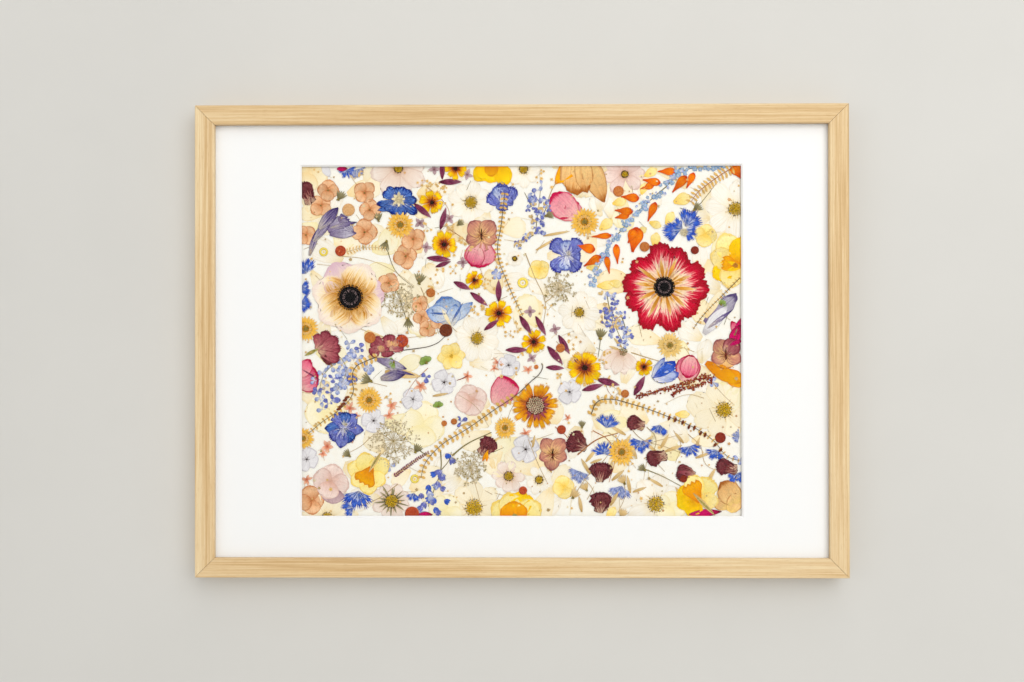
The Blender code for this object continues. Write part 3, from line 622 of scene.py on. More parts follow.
# a five-lobed floret in one piece, for what is strewn by the hundred
def starMaster(name, lobes, waist):
    clearSelection()
    bpy.ops.mesh.primitive_circle_add(vertices=lobes * 2, radius=1, fill_type="TRIFAN")
    star = bpy.context.object
    bpy.ops.object.mode_set(mode="EDIT")
    sheet = bmesh.from_edit_mesh(star.data)
    rim = [v.index for v in sheet.verts if v.co.length > 0.5]
    middle = [v.index for v in sheet.verts if v.co.length < 0.5]
    pick(rim[1::2])
    bpy.ops.transform.resize(value=(waist, waist, 1), center_override=(0, 0, 0))
    pick(middle)
    bpy.ops.transform.translate(value=(0, 0, sheetSet["floretDip"]))
    bpy.ops.object.mode_set(mode="OBJECT")
    thicken(star, sheetSet["floret"])
    return shelve(star, name)


floretShapes = {"star5": (5, 0.45), "star4": (4, 0.4), "soft5": (5, 0.72)}  # lobes, waist
floret = {key: starMaster("master_" + key, *shape) for key, shape in floretShapes.items()}

# a flattened bead, for pollen, florets and seeds
clearSelection()
bpy.ops.mesh.primitive_ico_sphere_add(subdivisions=1, radius=0.5)
bpy.ops.object.mode_set(mode="EDIT")
bpy.ops.mesh.select_all(action="SELECT")
bpy.ops.transform.resize(value=(1, 1, 0.7))
bpy.ops.object.mode_set(mode="OBJECT")
bpy.ops.object.shade_smooth()
bead = shelve(bpy.context.object, "master_bead")

# a thin straw one long, for rays, hairs and small stalks
clearSelection()
bpy.ops.mesh.primitive_cylinder_add(vertices=5, radius=0.5, depth=1, location=(0, 0.5, 0),
                                    rotation=(math.radians(-90), 0, 0))
bpy.ops.object.transform_apply(location=True, rotation=True)
bpy.ops.object.mode_set(mode="EDIT")
pick([v.index for v in bpy.context.object.data.vertices if v.co.y > 0.5])
bpy.ops.transform.resize(value=(0.6, 1, 0.6), center_override=(0, 1, 0))
bpy.ops.object.mode_set(mode="OBJECT")
straw = shelve(bpy.context.object, "master_straw")

# a seed disc with a soft rim and a dimple
clearSelection()
bpy.ops.mesh.primitive_cylinder_add(vertices=24, radius=1, depth=0.5)
bpy.ops.object.mode_set(mode="EDIT")
sheet = bmesh.from_edit_mesh(bpy.context.object.data)
for face in sheet.faces:
    face.select = face.normal.z > 0.9
bmesh.update_edit_mesh(bpy.context.object.data)
bpy.ops.mesh.inset(thickness=0.16)
bpy.ops.transform.translate(value=(0, 0, 0.12))
bpy.ops.mesh.inset(thickness=0.5)
bpy.ops.transform.translate(value=(0, 0, -0.14))
bpy.ops.object.mode_set(mode="OBJECT")
bpy.ops.object.shade_smooth()
seedDisc = shelve(bpy.context.object, "master_disc")

# a flat ring, for sliced stalks
clearSelection()
bpy.ops.mesh.primitive_torus_add(major_segments=20, minor_segments=6, major_radius=0.75, minor_radius=0.25)
bpy.ops.transform.resize(value=(1, 1, 0.6))
bpy.ops.object.transform_apply(scale=True)
bpy.ops.object.shade_smooth()
stalkSlice = shelve(bpy.context.object, "master_slice")
print("masters are modelled:", len(masters))


# laying out
goldenTurn = 2.39996  # radians between one floret and the next
ringLayer = 0.08  # mm between a petal and the one that lies over it
fanLayer = 0.06


def paintOn(thing, finish):
    thing.data.materials.clear()
    thing.data.materials.append(paint[finish])


def shadeOf(thing):
    # each copy is a little lighter or darker than the next
    mark = thing.data.attributes.get("shade") or thing.data.attributes.new("shade", "FLOAT", "POINT")
    mark.data.foreach_set("value", [dice.random()] * len(thing.data.vertices))


def laid(master, x, y, height, angle, length, width, relief, finish):
    # a copy lying at x, y, pointing along angle; sizes in mm
    twin = master.copy()
    twin.data = master.data.copy()
    width = length if width is None else width
    turned = Matrix.Rotation(math.radians(angle - 90), 4, "Z")
    stretched = Matrix.Diagonal((width, length, relief, 1))
    twin.data.transform(Matrix.Translation((x, y, height)) @ turned @ stretched)
    paintOn(twin, finish)
    shadeOf(twin)
    return twin


def gather(name, twins, slotName, *replaced):
    # joins the copies, stands them up in the frame and hands them over
    clearSelection()
    for twin in twins:
        bpy.context.scene.collection.objects.link(twin)
        twin.select_set(True)
    bpy.context.view_layer.objects.active = twins[0]
    if len(twins) > 1:
        bpy.ops.object.join()
    whole = bpy.context.view_layer.objects.active
    whole.name = whole.data.name = name
    whole.matrix_world = pressToFrame
    bpy.ops.object.transform_apply(location=True, rotation=True, scale=True)
    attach(whole, "root")
    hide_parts(*(replaced or (bedNode,)))


def ring(master, x, y, height, count, length, width, finish, start=0, spread=360, wobble=4, inner=0.0,
         relief=1.0, vary=0.08):
    # petals around a middle, or in a fan, overlapping in three layers
    twins = []
    for i in range(count):
        angle = start + spread * i / count + dice.uniform(-wobble, wobble)
        long = length * dice.uniform(1 - vary, 1 + vary)
        broad = width * dice.uniform(1 - vary, 1 + vary)
        twins.append(laid(master, *onward(x, y, angle, inner), height + ringLayer * (i % 3), angle, long,
                          broad, relief, finish))
    return twins


def boss(x, y, height, radius, grain, count, finish, dome=0.5):
    # beads wound in a spiral, as florets sit in a flower's eye
    twins = []
    for i in range(count):
        out = math.sqrt((i + 0.5) / count)
        way = math.degrees(i * goldenTurn)
        size = grain * dice.uniform(0.8, 1.2)
        twins.append(laid(bead, *onward(x, y, way, radius * out), height + dome * (1 - out * out), way,
                          size, size, size, finish))
    return twins


def fanOf(master, x, y, height, angles, length, width, finish):
    return [laid(master, x, y, height + fanLayer * (i % 4), angle, length * dice.uniform(0.92, 1.08), width,
                 1.0, finish) for i, angle in enumerate(angles)]


def leavesOf(leaves, height):
    # petals laid one by one from a list
    return [laid(petal[shape], x, z, height + extra, angle, length, width, 1.0, finish)
            for shape, x, z, angle, length, width, finish, extra in leaves]


def stem(points, radius, height, finish, tip=0.5, flat=0.6):
    # a pressed stalk through these places, thinner at its far end
    clearSelection()
    bpy.ops.curve.primitive_bezier_curve_add()
    line = bpy.context.object
    spline = line.data.splines[0]
    spline.bezier_points.add(len(points) - 2)
    for i, (knot, (x, y)) in enumerate(zip(spline.bezier_points, points)):
        knot.co = (x, y, 0)
        knot.handle_left_type = knot.handle_right_type = "AUTO"
        knot.radius = 1 + (tip - 1) * i / (len(points) - 1)
    line.data.dimensions = "3D"
    line.data.bevel_depth = radius
    line.data.bevel_resolution = 1
    line.data.resolution_u = 5
    line.data.use_fill_caps = True
    bpy.ops.object.convert(target="MESH")
    line = bpy.context.object
    line.data.transform(Matrix.Translation((0, 0, height)) @ Matrix.Diagonal((1, 1, flat, 1)))
    paintOn(line, finish)
    shadeOf(line)
    bpy.context.scene.collection.objects.unlink(line)
    return line


def bend(p, q, r, s, t):
    # on a smooth line from q to r, drawn by p and s
    return 0.5 * (2 * q + (r - p) * t + (2 * p - 5 * q + 4 * r - s) * t * t
                  + (3 * q - p - 3 * r + s) * t ** 3)


def smoothWalk(points, gap):
    # even steps along a smooth line: x, y and the way it runs
    dense = []
    for i in range(len(points) - 1):
        ends = (points[max(i - 1, 0)], points[i], points[i + 1], points[min(i + 2, len(points) - 1)])
        for k in range(12):
            dense.append(tuple(bend(*four, k / 12) for four in zip(*ends)))
    dense.append(points[-1])
    steps = []
    owed = 0.0
    for (ax, ay), (bx, by) in zip(dense, dense[1:]):
        part = math.hypot(bx - ax, by - ay)
        while part > 0 and owed <= part:
            t = owed / part
            steps.append((ax + (bx - ax) * t, ay + (by - ay) * t,
                          math.degrees(math.atan2(by - ay, bx - ax))))
            owed += gap
        owed -= part
    return steps


def leafy(points, height, gap, leafLength, leafWidth, stalk, leafFinish="leaflet", stalkFinish="darkStem",
          lean=68, skip=0, taper=0.6):
    # a stalk with leaflets in pairs
    twins = [stem(points, stalk, height, stalkFinish)]
    steps = smoothWalk(points, gap)
    for i, (x, y, way) in enumerate(steps[skip:]):
        fade = 1 - (1 - taper) * i / max(len(steps) - skip, 1)
        for side in (1, -1):
            angle = way + side * lean + dice.uniform(-8, 8)
            length = leafLength * fade * dice.uniform(0.85, 1.1)
            twins.append(laid(petal["oval"], x, y, height + 0.05, angle, length, leafWidth * fade, 1.0,
                              leafFinish))
    return twins


# how far off the board each layer lies, in mm
groundHeight = 0.1
lowHeight = 0.25
stemHeight = 0.4
smallHeight = 0.5
mainHeight = 0.72

# the pale petals that cover the board
bedSet = {"patches": 3, "petals": 50, "longest": 42, "shortest": 24, "halfWide": 245, "halfHigh": 195}
bedShapes = ["broad", "broadB", "round", "strap"]
bedFinishes = ["cream", "white", "white", "cream", "creamYellow", "white", "warmCream"]
for patch in range(bedSet["patches"]):
    twins = []
    for i in range(bedSet["petals"]):
        size = dice.uniform(bedSet["shortest"], bedSet["longest"])
        shape = dice.choice(bedShapes)
        x = dice.uniform(-bedSet["halfWide"], bedSet["halfWide"])
        z = dice.uniform(-bedSet["halfHigh"], bedSet["halfHigh"])
        twins.append(laid(petal[shape], x, z, groundHeight + dice.uniform(0, 0.25), dice.uniform(0, 360),
                          size,
                          size * dice.uniform(0.55, 0.8), 0.6, dice.choice(bedFinishes)))
    gather("ground_petals_%d" % (patch + 1), twins, "petal_cream")
print("ground petals are down")

# white and cream cosmos, with a golden eye
cosmosSet = [  # x, z, eye radius, petal radius, finish
    (-56, 155, 7, 25, "white"), (239, 147, 8, 35, "white"), (65, 32, 5.5, 25, "white"),
    (-49, 3, 7, 27, "white"), (226, -77, 9, 35, "cream"), (150, -182, 9.5, 33, "white"),
    (-53, -186, 10, 30, "cream"), (-14, -151, 5.5, 18, "blushWhite"), (20, -155, 4.5, 16, "white"),
    (-7, 92, 2.5, 9, "white"), (3, 192, 5, 20, "white"), (-145, -179, 8, 22, "blushWhite"),
    (-217, -197, 6, 34, "cream"), (-137, 193, 5, 33, "blushWhite"), (116, 186, 4, 24, "blushDisc")]
cosmosLook = {"petals": 8, "petalWidth": 0.62, "rays": 26, "rayLength": 1.3, "grains": 48, "grain": 0.24,
              "button": 0.85, "rim": 0.95}
for number, (x, z, eye, reach, finish) in enumerate(cosmosSet):
    look = cosmosLook
    start = dice.uniform(0, 45)
    twins = ring(petal["strap"], x, z, lowHeight, look["petals"], reach, reach * look["petalWidth"], finish,
                 start, wobble=5, relief=0.8)
    twins += ring(straw, x, z, lowHeight + 0.3, look["rays"], eye * look["rayLength"], 0.45, "goldBead",
                  start, wobble=10, relief=0.35, vary=0.2)
    twins += boss(x, z, lowHeight + 0.4, eye * look["button"], eye * look["grain"], look["grains"],
                  "goldBead", dome=0.7)
    twins += boss(x, z, lowHeight + 0.75, eye * 0.8, eye * 0.1, 16, "oliveBead", dome=0.8)
    twins += ring(bead, x, z, lowHeight + 0.8, look["rays"], 1.15, 1.15, "darkBead", start, wobble=7,
                  inner=eye * look["rim"])
    twins += boss(x, z, lowHeight + 0.9, eye * look["button"], eye * 0.08, 26, "darkBead", dome=0.8)
    if finish == "blushWhite" and z < -170:
        twins += ring(petal["needle"], x, z, lowHeight + 0.4, 16, 18, 2.1, "sepal", start, wobble=9,
                      vary=0.2)
    gather("cosmos_%d" % (number + 1), twins, "petal_cream")
print("cosmos are down")


# coreopsis: toothed wedges round a dark eye, its parts as shares of the flower's reach
coreopsisLook = {"widest": 0.8, "filled": 0.88, "foot": 0.02, "discLength": 0.44, "discWidth": 0.07,
                 "eye": 0.17, "grain": 0.1, "grains": 22}


def coreopsis(x, z, reach, petals, gap=1.0):
    look = coreopsisLook
    start = dice.uniform(0, 60)
    width = 2 * math.pi * reach * look["widest"] / petals * look["filled"] * gap
    twins = ring(petal["wedge"], x, z, mainHeight, petals, reach, width, "coreopsis", start, wobble=5,
                 inner=reach * look["foot"])
    twins += ring(petal["needle"], x, z, mainHeight + 0.22, petals * 3, reach * look["discLength"],
                  reach * look["discWidth"], "wineDisc", start, wobble=8, vary=0.25)
    twins += boss(x, z, mainHeight + 0.3, reach * look["eye"], reach * look["grain"], look["grains"],
                  "darkBead", dome=0.5)
    return twins


coreopsisSet = {"coreopsis_1": (6, 0.98), "coreopsis_2": (8, 1.05), "coreopsis_3": (7, 0.98),
                "coreopsis_4": (8, 0.95), "coreopsis_5": (9, 1.05)}
for node, (petals, gap) in coreopsisSet.items():
    x, z, wide = nodeSpot(node)
    gather("petals_of_" + node, coreopsis(x, z, wide, petals, gap), "petal_yellow", node)
smallCoreopsis = [(-52, 68, 10, 7), (137, -29, 9.5, 7), (-73, 193, 12, 8)]
twins = []
for x, z, reach, petals in smallCoreopsis:
    twins += coreopsis(x, z, reach, petals)
gather("small_coreopsis", twins, "petal_yellow")


# strawflowers: rings of papery bracts round a dark button, their sizes as shares of the reach
strawBracts = [  # shape, lift, how many, length, width, first angle, wobble, how much they vary
    ("tongue", 0, 24, 1.02, 0.27, 0, 4, 0.06), ("tongue", 0.15, 22, 0.8, 0.2, 8, 5, 0.1),
    ("slim", 0.25, 20, 0.6, 0.13, 8, 6, 0.08)]
strawGrains = [(16, "oliveBead", 0.5), (12, "darkBead", 0.25)]  # how many, paint, how far out


def strawflower(x, z, reach, finish="straw"):
    twins = []
    for shape, lift, count, length, width, start, wobble, vary in strawBracts:
        twins += ring(petal[shape], x, z, mainHeight + lift, count, reach * length, reach * width, finish,
                      start, wobble=wobble, vary=vary)
    twins += ring(straw, x, z, mainHeight + 0.4, 30, reach * 0.2, 0.5, "creamBead", inner=reach * 0.3,
                  wobble=6, relief=0.4)
    for count, beadPaint, out in strawGrains:
        twins += ring(bead, x, z, mainHeight + 0.5, count, reach * 0.07, reach * 0.07, beadPaint,
                      inner=reach * out, wobble=6)
    twins += boss(x, z, mainHeight + 0.3, reach * 0.2, reach * 0.1, 22, "oliveBead", dome=0.3)
    return twins


for node in ("strawflower_left_top", "strawflower_centre", "strawflower_left_low", "strawflower_right_low"):
    x, z, wide = nodeSpot(node)
    gather("bracts_of_" + node, strawflower(x, z, wide), "petal_orange", node)
smallStraws = [(-18, -97, 12, "straw"), (166, -5, 14, "paleStraw"), (-241, 14, 14, "straw"),
               (-244, -109, 12, "straw")]
twins = []
for x, z, reach, finish in smallStraws:
    twins += strawflower(x, z, reach, finish)
gather("small_strawflowers", twins, "petal_orange")
print("coreopsis and strawflowers are down")

# the two anemones and the blanket flower
x, z, wide = nodeSpot("anemone_red")
redSet = {"lobes": 10, "eye": 0.235}
ribStart = wide * redSet["eye"] * 0.9
twins = []
for i in range(redSet["lobes"]):
    angle = 100 + i * 360 / redSet["lobes"] + dice.uniform(-5, 5)
    twins.append(laid(petal[("ruffle", "ruffleB")[i % 2]], x, z, mainHeight + 0.07 * (i % 3), angle,
                      wide * dice.uniform(0.93, 1.05), wide * dice.uniform(0.56, 0.64), 1.0, "crimson"))
    for aside, long, broad in ((0, 0.52, 0.085), (17, 0.26, 0.04)):
        way = angle + aside + dice.uniform(-3, 3)
        twins.append(laid(petal["slim"], *onward(x, z, way, ribStart), mainHeight + 0.24, way,
                          wide * long * dice.uniform(0.8, 1.15), wide * broad, 1.0, "rib"))


def darkEye(x, z, reach, height):
    # a black button in a paler speckled ring, inside a ring of dark anthers
    twins = [laid(seedDisc, x, z, height, 0, reach * 0.88, reach * 0.88, 0.8, "blackBead")]
    twins += ring(straw, x, z, height + 0.1, 72, reach * 1.0, 0.5, "blackBead", wobble=3, relief=0.4,
                  vary=0.1)
    for out, count, size in ((0.99, 44, 1.6), (0.86, 40, 1.9), (0.74, 30, 1.9)):
        twins += ring(bead, x, z, height + 0.3, count, size, size, "blackBead", wobble=5, inner=reach * out,
                      relief=0.9)
    twins += ring(straw, x, z, height + 0.3, 22, reach * 0.16, 0.45, "ashBead", wobble=8,
                  inner=reach * 0.44, relief=0.5)
    twins += ring(bead, x, z, height + 0.5, 26, 0.9, 0.9, "ashBead", wobble=6, inner=reach * 0.6)
    twins += boss(x, z, height + 0.3, reach * 0.42, 1.6, 60, "blackBead", dome=0.9)
    return twins


twins += darkEye(x, z, wide * redSet["eye"], mainHeight + 0.2)
gather("petals_of_anemone_red", twins, "petal_red", "anemone_red")

x, z, wide = nodeSpot("anemone_blush")
blushEye = 0.345  # beside the flower's half width, as are the lengths and widths
blushPetals = [  # angle, paint, length, width
    (118, "anemoneMauve", 1.06, 1.05), (62, "anemoneBlush", 1.02, 1.0), (12, "anemoneMauve", 1.02, 0.9),
    (-40, "anemoneBlush", 1.02, 1.0), (-92, "anemoneBlush", 1.0, 1.05), (-142, "anemoneBlush", 1.04, 1.0),
    (168, "anemoneBlush", 1.08, 0.95)]
twins = []
for angle, finish, length, width in blushPetals:
    twins.append(laid(petal["round"], x, z, mainHeight - 0.1 + dice.uniform(0, 0.2), angle, wide * length,
                      wide * width, 1.0, finish))
twins += ring(petal["needle"], x, z, mainHeight + 0.28, 90, wide * 0.3, wide * 0.016, "halo", wobble=4,
              inner=wide * 0.3, vary=0.4)
twins += ring(petal["needle"], x, z, mainHeight + 0.26, 44, wide * 0.17, wide * 0.026, "halo", wobble=5,
              inner=wide * 0.3, vary=0.3)
pollenSpecks = 60
for speck in range(pollenSpecks):
    way = dice.uniform(0, 360)
    out = wide * (0.35 + 0.2 * dice.random() ** 2)
    twins.append(laid(bead, *onward(x, z, way, out), mainHeight + 0.45, 0, 0.55, 0.55, 0.5, "darkBead"))
twins += darkEye(x, z, wide * blushEye, mainHeight + 0.2)
gather("petals_of_anemone_blush", twins, "petal_blush", "anemone_blush")

x, z, wide = nodeSpot("blanket_flower")
twins = ring(petal["wedge"], x, z, mainHeight, 20, wide * 1.06, wide * 0.25, "blanket", wobble=4, vary=0.12)
twins += ring(petal["tongue"], x, z, mainHeight + 0.14, 9, wide * 0.72, wide * 0.17, "mauveMaroon", 220,
              spread=190, wobble=7, vary=0.16)
twins += ring(bead, x, z, mainHeight + 0.4, 34, 1.5, 1.5, "darkBead", wobble=4, inner=wide * 0.43)
twins += boss(x, z, mainHeight + 0.35, wide * 0.41, 2.0, 74, "umbelTan", dome=0.7)
twins += boss(x, z, mainHeight + 0.6, wide * 0.38, 1.0, 34, "darkBead", dome=0.7)
gather("petals_of_blanket_flower", twins, "petal_orange", "blanket_flower")
print("anemones and blanket flower are down")

# single blooms, petal by petal: shape, foot x, foot z, angle, length, width, paint, extra height
posies = {
    "gentian_blue": ("petal_blue", [
        ("wavy", -137, 156, 186, 25, 7, "deepBlue", 0), ("slim", -140, 152, 196, 21, 8, "deepBlue", 0.12),
        ("wavy", -139, 158, 152, 18, 9, "deepBlue", 0.1), ("wavy", -139, 158, 124, 18, 9, "deepBlue", 0.04),
        ("wavy", -138, 158, 96, 15, 11, "deepBlue", 0), ("wavy", -137, 158, 66, 16, 10, "deepBlue", 0.14),
        ("wavy", -136, 158, 36, 17, 10, "deepBlue", 0.05), ("wavy", -136, 157, 2, 20, 9, "deepBlue", 0.15),
        ("wavy", -136, 156, -34, 24, 10, "deepBlue", 0), ("wavy", -137, 155, -66, 16, 10, "deepBlue", 0.1),
        ("wavy", -138, 155, -118, 15, 10, "deepBlue", 0.06),
        ("wavy", -139, 155, -150, 16, 9, "deepBlue", 0.12)]),
    "larkspur_top": ("petal_blue", [
        ("wavy", -19, 150, 140, 23, 16, "violetBlue", 0),
        ("wavy", -19, 148, 96, 30, 15, "violetBlue", 0.06),
        ("wavy", -19, 150, 62, 25, 15, "violetBlue", 0.12),
        ("wavy", -20, 156, 118, 19, 13, "lavender", 0.18),
        ("wavy", -20, 154, 20, 12, 12, "violetBlue", 0.1),
        ("wavy", -20, 158, 262, 13, 13, "violetBlue", 0.16),
        ("wavy", -21, 160, 80, 14, 12, "violetBlue", 0.22)]),
    "larkspur_centre": ("petal_blue", [
        ("wavy", 52, 95, 134, 25, 17, "violetBlue", 0), ("wavy", 52, 96, 96, 17, 15, "lavender", 0.06),
        ("wavy", 53, 96, 52, 22, 16, "violetBlue", 0.1), ("wavy", 53, 95, 4, 14, 15, "violetBlue", 0.04),
        ("wavy", 52, 94, -52, 20, 16, "violetBlue", 0.12), ("wavy", 51, 94, -102, 16, 14, "lavender", 0.16),
        ("wavy", 51, 94, -138, 22, 16, "violetBlue", 0.08)]),
    "larkspur_left": ("petal_blue", [
        ("tongue", -198, -97, 182, 22, 15, "deepBlue", 0),
        ("wavy", -198, -97, 120, 19, 16, "violetBlue", 0.06),
        ("tongue", -197, -97, 52, 20, 16, "violetBlue", 0.12),
        ("tongue", -198, -98, -4, 22, 14, "violetBlue", 0.02),
        ("wavy", -199, -99, -52, 17, 14, "deepBlue", 0.1),
        ("tongue", -199, -99, -98, 21, 16, "violetBlue", 0.14),
        ("wavy", -199, -99, 214, 18, 14, "violetBlue", 0.08),
        ("wavy", -197, -94, 88, 15, 13, "deepBlue", 0.2)]),
    "harebell": ("petal_blue", [
        ("cup", -80, 19, 100, 31, 34, "paleBlue", 0), ("tongue", -80, 27, 166, 27, 20, "paleBlue", 0.08),
        ("tongue", -78, 22, 42, 32, 13, "paleBlue", 0.12),
        ("tongue", -78, 18, 78, 24, 16, "paleBlue", 0.16), ("slim", -79, 18, 118, 20, 4, "warmCream", 0.2),
        ("slim", -78, 20, 60, 26, 2.6, "deepBlue", 0.22),
        ("slim", -82, 30, 176, 20, 2.4, "deepBlue", 0.22)]),
    "crocus_blue": ("petal_blue", [
        ("tongue", 147, -41, 60, 26, 9, "lavender", 0.1), ("cup", 147, -41, 34, 30, 15, "blue", 0),
        ("cup", 148, -42, 10, 28, 14, "lavender", 0.12), ("slim", 147, -41, 22, 28, 6, "blue", 0.2),
        ("slim", 148, -42, -2, 24, 5, "lavender", 0.18), ("slim", 147, -42, 48, 24, 4, "blue", 0.2),
        ("slim", 146, -41, -30, 14, 3, "sepal", 0.1)]),
    "tulip_peach": ("petal_peach", [
        ("tongue", 66, 207, 229, 42, 19, "orange", 0), ("cup", 66, 210, 262, 46, 38, "tulip", 0.06),
        ("tongue", 70, 210, 293, 60, 25, "tulip", 0.14), ("cup", 68, 208, 276, 42, 20, "tulip", 0.2)]),
    "rose_petal_top": ("petal_pink", [
        ("cup", 56, 135, 78, 22, 20, "rose", 0), ("round", 60, 138, 134, 36, 30, "rose", 0.08),
        ("slim", 43, 137, 2, 11, 2.4, "crimsonRim", 0.16)]),
    "rose_petal_left": ("petal_pink", [("round", -45, 110, 268, 28, 35, "rose", 0),
                                       ("round", -47, 104, 250, 22, 20, "pink", 0.06)]),
    "rose_petal_middle": ("petal_pink", [("square", -29, -71, 58, 34, 29, "rose", 0)]),
    "rose_petal_right": ("petal_pink", [("round", 182, -45, 74, 30, 27, "pink", 0),
                                        ("round", 190, -18, 258, 24, 20, "pink", 0.1)]),
    "pansy_top": ("petal_brown", [
        ("round", -44, 119, 268, 20, 24, "pansy", 0), ("round", -44, 118, 200, 18, 17, "pansy", 0.06),
        ("round", -44, 118, -18, 18, 17, "pansy", 0.08), ("round", -44, 118, 132, 20, 20, "pansy", 0.12),
        ("round", -43, 118, 52, 20, 20, "pansy", 0.16)]),
    "pansy_bottom": ("petal_brown", [
        ("round", 35, -125, 266, 20, 17, "pansy", 0), ("round", 35, -125, 206, 16, 14, "pansy", 0.06),
        ("round", 35, -125, -22, 17, 15, "pansy", 0.08), ("round", 35, -125, 126, 19, 17, "pansy", 0.12),
        ("round", 35, -125, 50, 20, 17, "pansy", 0.16)]),
    "pansy_right": ("petal_brown", [
        ("round", 228, -15, 266, 17, 22, "tulip", 0), ("round", 228, -15, 204, 17, 16, "pansy", 0.06),
        ("round", 229, -15, -26, 18, 16, "pansy", 0.08), ("round", 228, -14, 128, 18, 18, "pansy", 0.12),
        ("round", 228, -14, 48, 20, 20, "mauveMaroon", 0.16)]),
    "daffodil_left": ("petal_yellow", [
        ("round", -172, -148, 158, 24, 20, "lemon", 0), ("round", -172, -148, 100, 24, 22, "lemon", 0.06),
        ("round", -170, -148, 34, 26, 22, "lemon", 0.03), ("round", -170, -150, -24, 20, 18, "lemon", 0.1),
        ("round", -172, -150, -84, 22, 20, "lemon", 0.05),
        ("round", -173, -149, 214, 20, 18, "lemon", 0.08),
        ("wedge", -167, -141, 240, 21, 25, "orange", 0.2),
        ("slim", -157, -125, 238, 25, 4.4, "tanLeaf", 0.3),
        ("slim", -158, -126, 238, 22, 2, "greenStalk", 0.36)]),
    "daffodil_right": ("petal_yellow", [
        ("wavy", 194, -176, 156, 22, 19, "yellow", 0), ("round", 196, -174, 104, 26, 22, "lemon", 0.06),
        ("wavy", 198, -175, 52, 26, 22, "lemon", 0.03), ("round", 198, -177, -6, 22, 18, "paleYellow", 0.1),
        ("round", 194, -178, -100, 20, 20, "yellow", 0.05),
        ("round", 192, -176, 206, 20, 18, "yellow", 0.08), ("wedge", 199, -180, 118, 24, 23, "orange", 0.2),
        ("slim", 192, -170, -46, 34, 5, "tanLeaf", 0.3),
        ("slim", 194, -173, -44, 30, 2.4, "greenStalk", 0.36)]),
    "poppy_yellow": ("petal_yellow", [
        ("round", -6, -200, 146, 32, 28, "lemon", 0), ("round", -6, -200, 108, 32, 28, "lemon", 0.06),
        ("wavy", -5, -200, 74, 32, 28, "yellow", 0.04), ("round", -5, -200, 36, 32, 28, "lemon", 0.1),
        ("round", -8, -204, 92, 25, 30, "orange", 0.18), ("cup", -7, -204, 92, 11, 9, "greenStalk", 0.24)]),
    "buttercup_right": ("petal_yellow", [
        ("round", 238, 88, 112, 34, 28, "paleYellow", 0),
        ("round", 238, 88, 164, 28, 24, "paleYellow", 0.06),
        ("round", 238, 86, 214, 28, 24, "yellow", 0.03), ("round", 238, 88, 258, 30, 26, "paleYellow", 0.1),
        ("round", 239, 88, 66, 30, 26, "yellow", 0.08), ("wedge", 246, 84, 172, 22, 17, "orange", 0.2),
        ("slim", 246, 82, 158, 17, 5, "yellow", 0.26),
        ("slim", 246, 82, 192, 17, 5, "yellow", 0.26)]),
    "carnation_maroon": ("petal_burgundy", [
        ("wavy", -228, -9, 88, 18, 10, "mauveMaroon", 0.1),
        ("wavy", -228, -10, 60, 25, 12, "mauveMaroon", 0),
        ("wavy", -227, -11, 34, 27, 13, "mauveMaroon", 0.12),
        ("wavy", -227, -11, 8, 26, 13, "mauveMaroon", 0.06),
        ("wavy", -226, -12, -22, 25, 12, "mauveMaroon", 0.14),
        ("wavy", -226, -12, -44, 20, 9, "maroon", 0.04),
        ("slim", -242, -16, 26, 17, 4, "greenStalk", 0.2)]),
    "tulip_petal_1": ("petal_burgundy", [
        ("wavy", 73, -119, 138, 24, 17, "maroon", 0), ("wavy", 73, -119, 168, 24, 17, "maroon", 0.08),
        ("flare", 73, -119, 153, 22, 14, "maroon", 0.16)]),
    "tulip_petal_2": ("petal_burgundy", [
        ("wavy", 89, -157, 106, 22, 17, "maroon", 0), ("wavy", 89, -157, 72, 22, 17, "maroon", 0.08),
        ("flare", 89, -157, 90, 21, 15, "maroon", 0.16)]),
    "tulip_petal_3": ("petal_burgundy", [
        ("wavy", 194, -148, 186, 22, 13, "maroon", 0), ("wavy", 194, -148, 162, 21, 12, "maroon", 0.08),
        ("slim", 193, -149, 170, 19, 6, "mauveMaroon", 0.16)]),
}
posyEyes = {  # x, z, radius, grain, beads, paint
    "gentian_blue": [(-136.5, 158.5, 4.2, 1.7, 26, "creamBead")],
    "larkspur_centre": [(53, 98, 2.6, 1.2, 12, "creamBead")],
    "larkspur_left": [(-196, -93, 1.8, 1.1, 9, "creamBead")],
    "pansy_top": [(-44, 119, 1.4, 0.9, 8, "darkBead"), (-44, 114, 1.0, 0.8, 6, "darkBead")],
    "pansy_bottom": [(35, -125, 1.4, 0.9, 8, "darkBead"), (35, -130, 1.0, 0.8, 6, "darkBead")],
    "pansy_right": [(228, -15, 1.4, 0.9, 8, "wineDisc")],
    "buttercup_right": [(239, 84, 3.0, 1.2, 20, "orangeDisc")],
}
for node, (slotName, leaves) in posies.items():
    twins = leavesOf(leaves, mainHeight)
    for x, z, radius, grain, count, finish in posyEyes.get(node, []):
        twins += boss(x, z, mainHeight + 0.6, radius, grain, count, finish)
    if node == "gentian_blue":
        twins += ring(petal["speck"], -136.5, 158.5, mainHeight + 0.4, 8, 7.5, 3.2, "creamBead", vary=0.2)
    if node.startswith("pansy"):
        x, z, wide = nodeSpot(node)
        twins += ring(petal["needle"], x, z, mainHeight + 0.45, 2, 6, 1.3, "darkBead", 90, wobble=6)
        twins += ring(petal["needle"], x, z - 1, mainHeight + 0.4, 14, 8, 0.5, "wineDisc", 8, wobble=8)
    gather("petals_of_" + node, twins, slotName, node)


